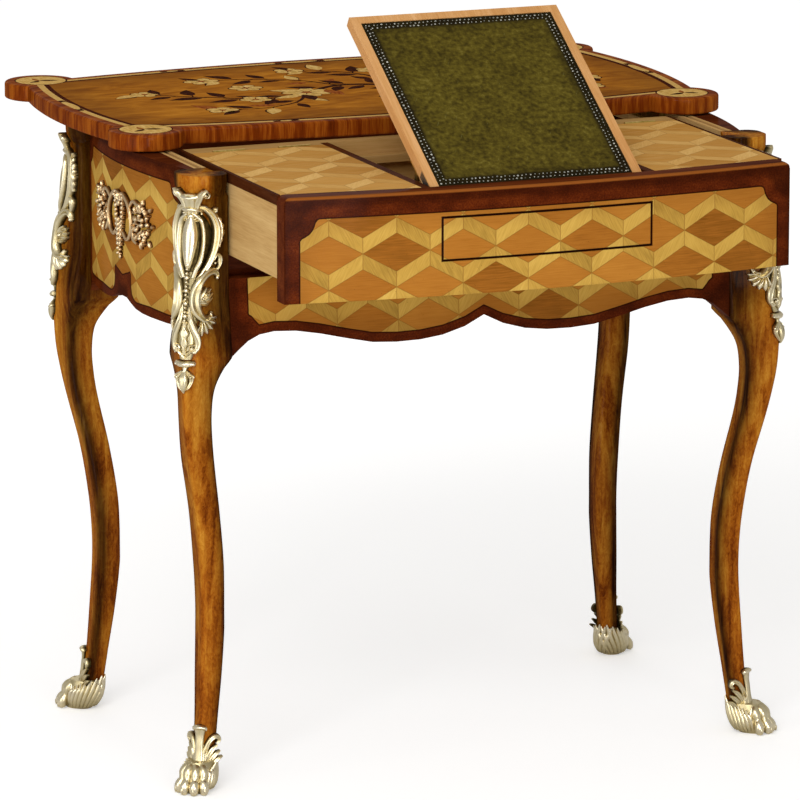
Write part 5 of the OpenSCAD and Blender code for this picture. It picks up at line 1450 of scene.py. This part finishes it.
def olive_leather():
    """Mottled hide, darker under the tooling and towards it, with light scratches."""
    f = Finish("slope_leather_olive", 0.5, coat=0.05, coat_roughness=0.35)
    u, v, rim = f.split(f.mark("lay", True))
    blotch = f.noise(f.join(u * 0.02, v * 0.02, 0.0), 1.0, 5, 0.65)
    mottle = f.noise(f.join(u * 0.16, v * 0.16, 3.0), 1.0, 4, 0.6)
    grain = f.noise(f.join(u * 0.9, v * 0.9, 6.0), 1.0, 3, 0.6)
    tone = blotch * 0.4 + mottle * 0.6
    hide = f.ramp(tone, (0.3, "262008"), (0.43, "423812"), (0.56, "5C501A"), (0.75, "7E7234"))
    hide = f.mix(rim.between(30, 6) * 0.45 + rim.between(15, 11) * 0.45, hide, "16110A")
    scratch = f.noise(f.join(u * 0.6 - v * 0.35, v * 0.03 + u * 0.02, 8.0), 1.0, 2).between(0.7, 0.75)
    hide = f.mix(scratch * 0.35, hide, "8C8A52")
    return f.colour(hide).gloss(mottle, 0.4, 0.62).relief(grain + mottle * 0.6, 0.5, 0.4)


def silvered_dots():
    """Tarnished silver of the tooling."""
    f = Finish("tooled_dots_silvered", 0.35, metallic=0.9)
    worn = f.noise(f.stretch(f.place(), 0.3, 0.3, 0.3), 1.0, 3)
    return f.colour(f.ramp(worn, (0.35, "5A5A50"), (0.5, "C4C3B6"), (0.65, "F2F1E6"))).gloss(worn, 0.3, 0.5)


def make_finishes():
    """All finishes by name."""
    brown = ("6E400F", "9A5F20", "AE722B", "BE8236")
    pale = ("8E6C2C", "B28A3C", "C49D4A", "D6B262")
    dark_frame = ("240A02", "4C1B07", "7A3510")
    made = {
        "drawer": parquetry_finish("drawer_front_cube_parquetry", 79, 44, 18, (-262.5, 660.5), brown, pale,
                                   dark_frame, True),
        "apron": parquetry_finish("apron_cube_parquetry", 76, 44, 18, (6.5, 543), brown, pale, dark_frame),
        "panel": parquetry_finish("side_panel_cube_parquetry", 81, 46, 19.5, (-44, 619), brown,
                                  ("967432", "BA9142", "CDA854", "DEBC70"), ("2A0D03", "54210A", "7C3A12")),
        "leg": leg_walnut(),
        "bronze": cast_bronze("bronze_gilt_worn", "3A2E14", "786842", "BFB086", "D9CBA3", "ECE0C2"),
        "copper": cast_bronze("bronze_reddish_worn", "341E0C", "74512E", "B48E60", "CFB084", "E6D2AE"),
        "banding": banding_wood(),
        "strip": inlay_wood("pale_strip_cross_grained", 0.6, "B0853F", "CCA25A", "DFBC78"),
        "line": inlay_wood("dark_line_rosewood", 0.5, "260B03", "401606", "5E270C"),
        "inlay_dark": inlay_wood("marquetry_rosewood", 0.3, "1E0A03", "361507", "522410"),
        "inlay_pale": inlay_wood("marquetry_boxwood", 0.3, "B48A44", "CFA65C", "E2C07C"),
        "inlay_red": inlay_wood("marquetry_cherry", 0.3, "6E300E", "8E4A1A", "A86630"),
        "field": field_wood(),
        "lid": lid_parquetry(),
        "slope_frame": plain_wood("slope_frame_satinwood", ("B67C44", "CC965C", "DCAA74", "EAC08E"), 1, 0.36,
                                  0.075, SLOPE_TILT, SLOPE_PIVOT),
        "gear": worn_metal("gear_brass_dulled", 0.36, "4A3A16", "8E7434", "B4974A", "D2B869"),
        "hinge": worn_metal("hinge_brass_rubbed", 0.3, "6A5420", "AE8F42", "CDB062", "E6CE84"),
        "steel": worn_metal("pivot_steel_grey", 0.35, "5A564E", "8C887E", "ACA89E", "CAC6BC"),
        "leather": olive_leather(),
        "dots": silvered_dots()}
    for key, name, tones, along, *gloss in (
            ("oak", "drawer_oak", ("A67C46", "C09A62", "D0AC74", "DEBE8C"), 1, 0.55),
            ("oak_cross", "drawer_oak_crosswise", ("8E6636", "AC844C", "BC965E", "CCA872"), 0, 0.55),
            ("walnut", "walnut_lining", ("2A1206", "45200D", "5C3016", "744222"), 1, 0.4, 0.045),
            ("rail", "rail_mahogany", ("2E1005", "4E1F0B", "6A3214", "824420"), 0, 0.4, 0.06),
            ("beech", "runner_beech", ("A67C48", "C0965C", "CFA86E", "DDBB84"), 1, 0.5),
            ("core", "top_core_underside", ("6A421C", "84582A", "986A36", "AC7E46"), 0, 0.55),
            ("slope_board", "slope_board_wood", ("9A6A38", "B28048", "C29258", "D0A46A"), 1, 0.5)):
        made[key] = plain_wood(name, tones, along, *gloss)
    return {key: value.material for key, value in made.items()}


# The CAD nodes that keep their shape, by their finish; names that end in _ are a left and a right one
DRESSED = {
    "rail": ["front_rail"],
    "beech": ["runner_", "top_guide_", "top_batten_"],
    "gear": ["pinion_bracket_", "top_rack_", "pinion_", "drawer_rack_"],
    "core": ["top_board"],
    "oak": ["drawer_side_", "pen_drawer_runners", "pen_drawer_box"],
    "oak_cross": ["drawer_back", "drawer_bottom", "well_ledger"],
    "walnut": ["drawer_caps", "partition_"],
    "lid": ["lid_"],
    "hinge": ["lid_leaves_", "rail_leaves", "slope_stays", "stay_guides"],
    "slope_frame": ["slope_frame"],
    "slope_board": ["slope_board"],
    "steel": ["slope_pivots"],
}


def dress_nodes(finishes):
    """Gives the carried-over CAD nodes their finishes in their material slots."""
    for key, names in DRESSED.items():
        for name in names:
            for node in [name + "left", name + "right"] if name.endswith("_") else [name]:
                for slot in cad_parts[node].material_slots:
                    slot.material = finishes[key]


def make_world():
    """Soft light all round, and white behind the object."""
    world = bpy.data.worlds.new("studio")
    bpy.context.scene.world = world
    world.use_nodes = True
    tree = world.node_tree
    tree.nodes.clear()
    path = tree.nodes.new("ShaderNodeLightPath")
    both = tree.nodes.new("ShaderNodeMixShader")
    tree.links.new(path.outputs["Is Camera Ray"], both.inputs[0])
    for slot, colour, strength in ((1, (1, 0.985, 0.96, 1), 0.5), (2, (1, 1, 1, 1), 1.0)):
        light = tree.nodes.new("ShaderNodeBackground")
        light.inputs["Color"].default_value = colour
        light.inputs["Strength"].default_value = strength
        tree.links.new(light.outputs[0], both.inputs[slot])
    out = tree.nodes.new("ShaderNodeOutputWorld")
    tree.links.new(both.outputs[0], out.inputs[0])


def make_lamps():
    """Four soft lamps, turned to the middle of the case."""
    for name, place, size, power in (
            ("key", (-2.4, -3.4, 3.2), 2.2, 100.0), ("fill", (-0.5, -3.8, 0.5), 1.8, 48.0),
            ("low", (-3.4, -1.6, 0.8), 2.0, 26.0), ("back", (0.5, 3.2, 2.6), 2.4, 20.0)):
        lamp = bpy.data.lights.new(name, "AREA")
        lamp.size, lamp.energy = size, power
        lamp_object = put(name, lamp)
        lamp_object.location = place
        aim = Vector((0, 0, 0.5)) - Vector(place)
        lamp_object.rotation_euler = aim.to_track_quat("-Z", "Y").to_euler()


def make_floor():
    """Pale floor that keeps the shadow. For the camera it also glows, more so behind the object."""
    mesh = bpy.data.meshes.new("floor")
    mesh.from_pydata([(-30, -30, 0), (30, -30, 0), (30, 30, 0), (-30, 30, 0)], [], [(0, 1, 2, 3)])
    put("floor", mesh)
    f = Finish("floor_white", 0.9)
    behind = f.split(f.place())[1].between(0, 4500)
    f.colour(f.ramp(behind, (0.0, "E8E8E8"), (1.0, "EAEAEA")))
    seen = Wire(f, f.node("ShaderNodeLightPath").outputs["Is Camera Ray"])
    f.shader.inputs["Emission Color"].default_value = (1, 1, 1, 1)
    f.plug(seen * (behind * 0.18 + 0.4), f.shader.inputs["Emission Strength"])
    mesh.materials.append(f.material)


def make_camera():
    """The photograph's camera: it looks along yaw and pitch at a target near the object's middle."""
    yaw, pitch, distance = math.radians(22.0909), math.radians(12.161), 7.808485
    focal, image, sensor = 6500.0, 800, 36
    right = Vector((math.cos(yaw), -math.sin(yaw), 0))
    ahead = Vector((math.sin(yaw) * math.cos(pitch), math.cos(yaw) * math.cos(pitch), -math.sin(pitch)))
    up = right.cross(ahead)
    target = Vector((0, TABLE * MM, 0.38)) + right * -0.016051 + up * 0.015034
    lens = bpy.data.cameras.new("camera")
    lens.sensor_width, lens.lens = sensor, focal * sensor / image
    lens.clip_end = 100
    camera = put("camera", lens)
    camera.location = target - ahead * distance
    camera.rotation_euler = ahead.to_track_quat("-Z", "Y").to_euler()
    bpy.context.scene.camera = camera
    bpy.context.scene.view_settings.view_transform = "Standard"


finishes = make_finishes()
make_legs(finishes["leg"])
make_feet(finishes["bronze"])
make_mounts(finishes["bronze"], finishes["copper"])
make_boards([finishes["panel"], finishes["rail"]], [finishes["apron"], finishes["rail"]])
make_drawer_fronts([finishes["drawer"], finishes["rail"]])
make_top(finishes["banding"], [finishes[key] for key in
                               ("strip", "line", "field", "inlay_dark", "inlay_pale", "inlay_red")])
make_leather(finishes["leather"], finishes["dots"])
dress_nodes(finishes)
make_world()
make_lamps()
make_floor()
make_camera()
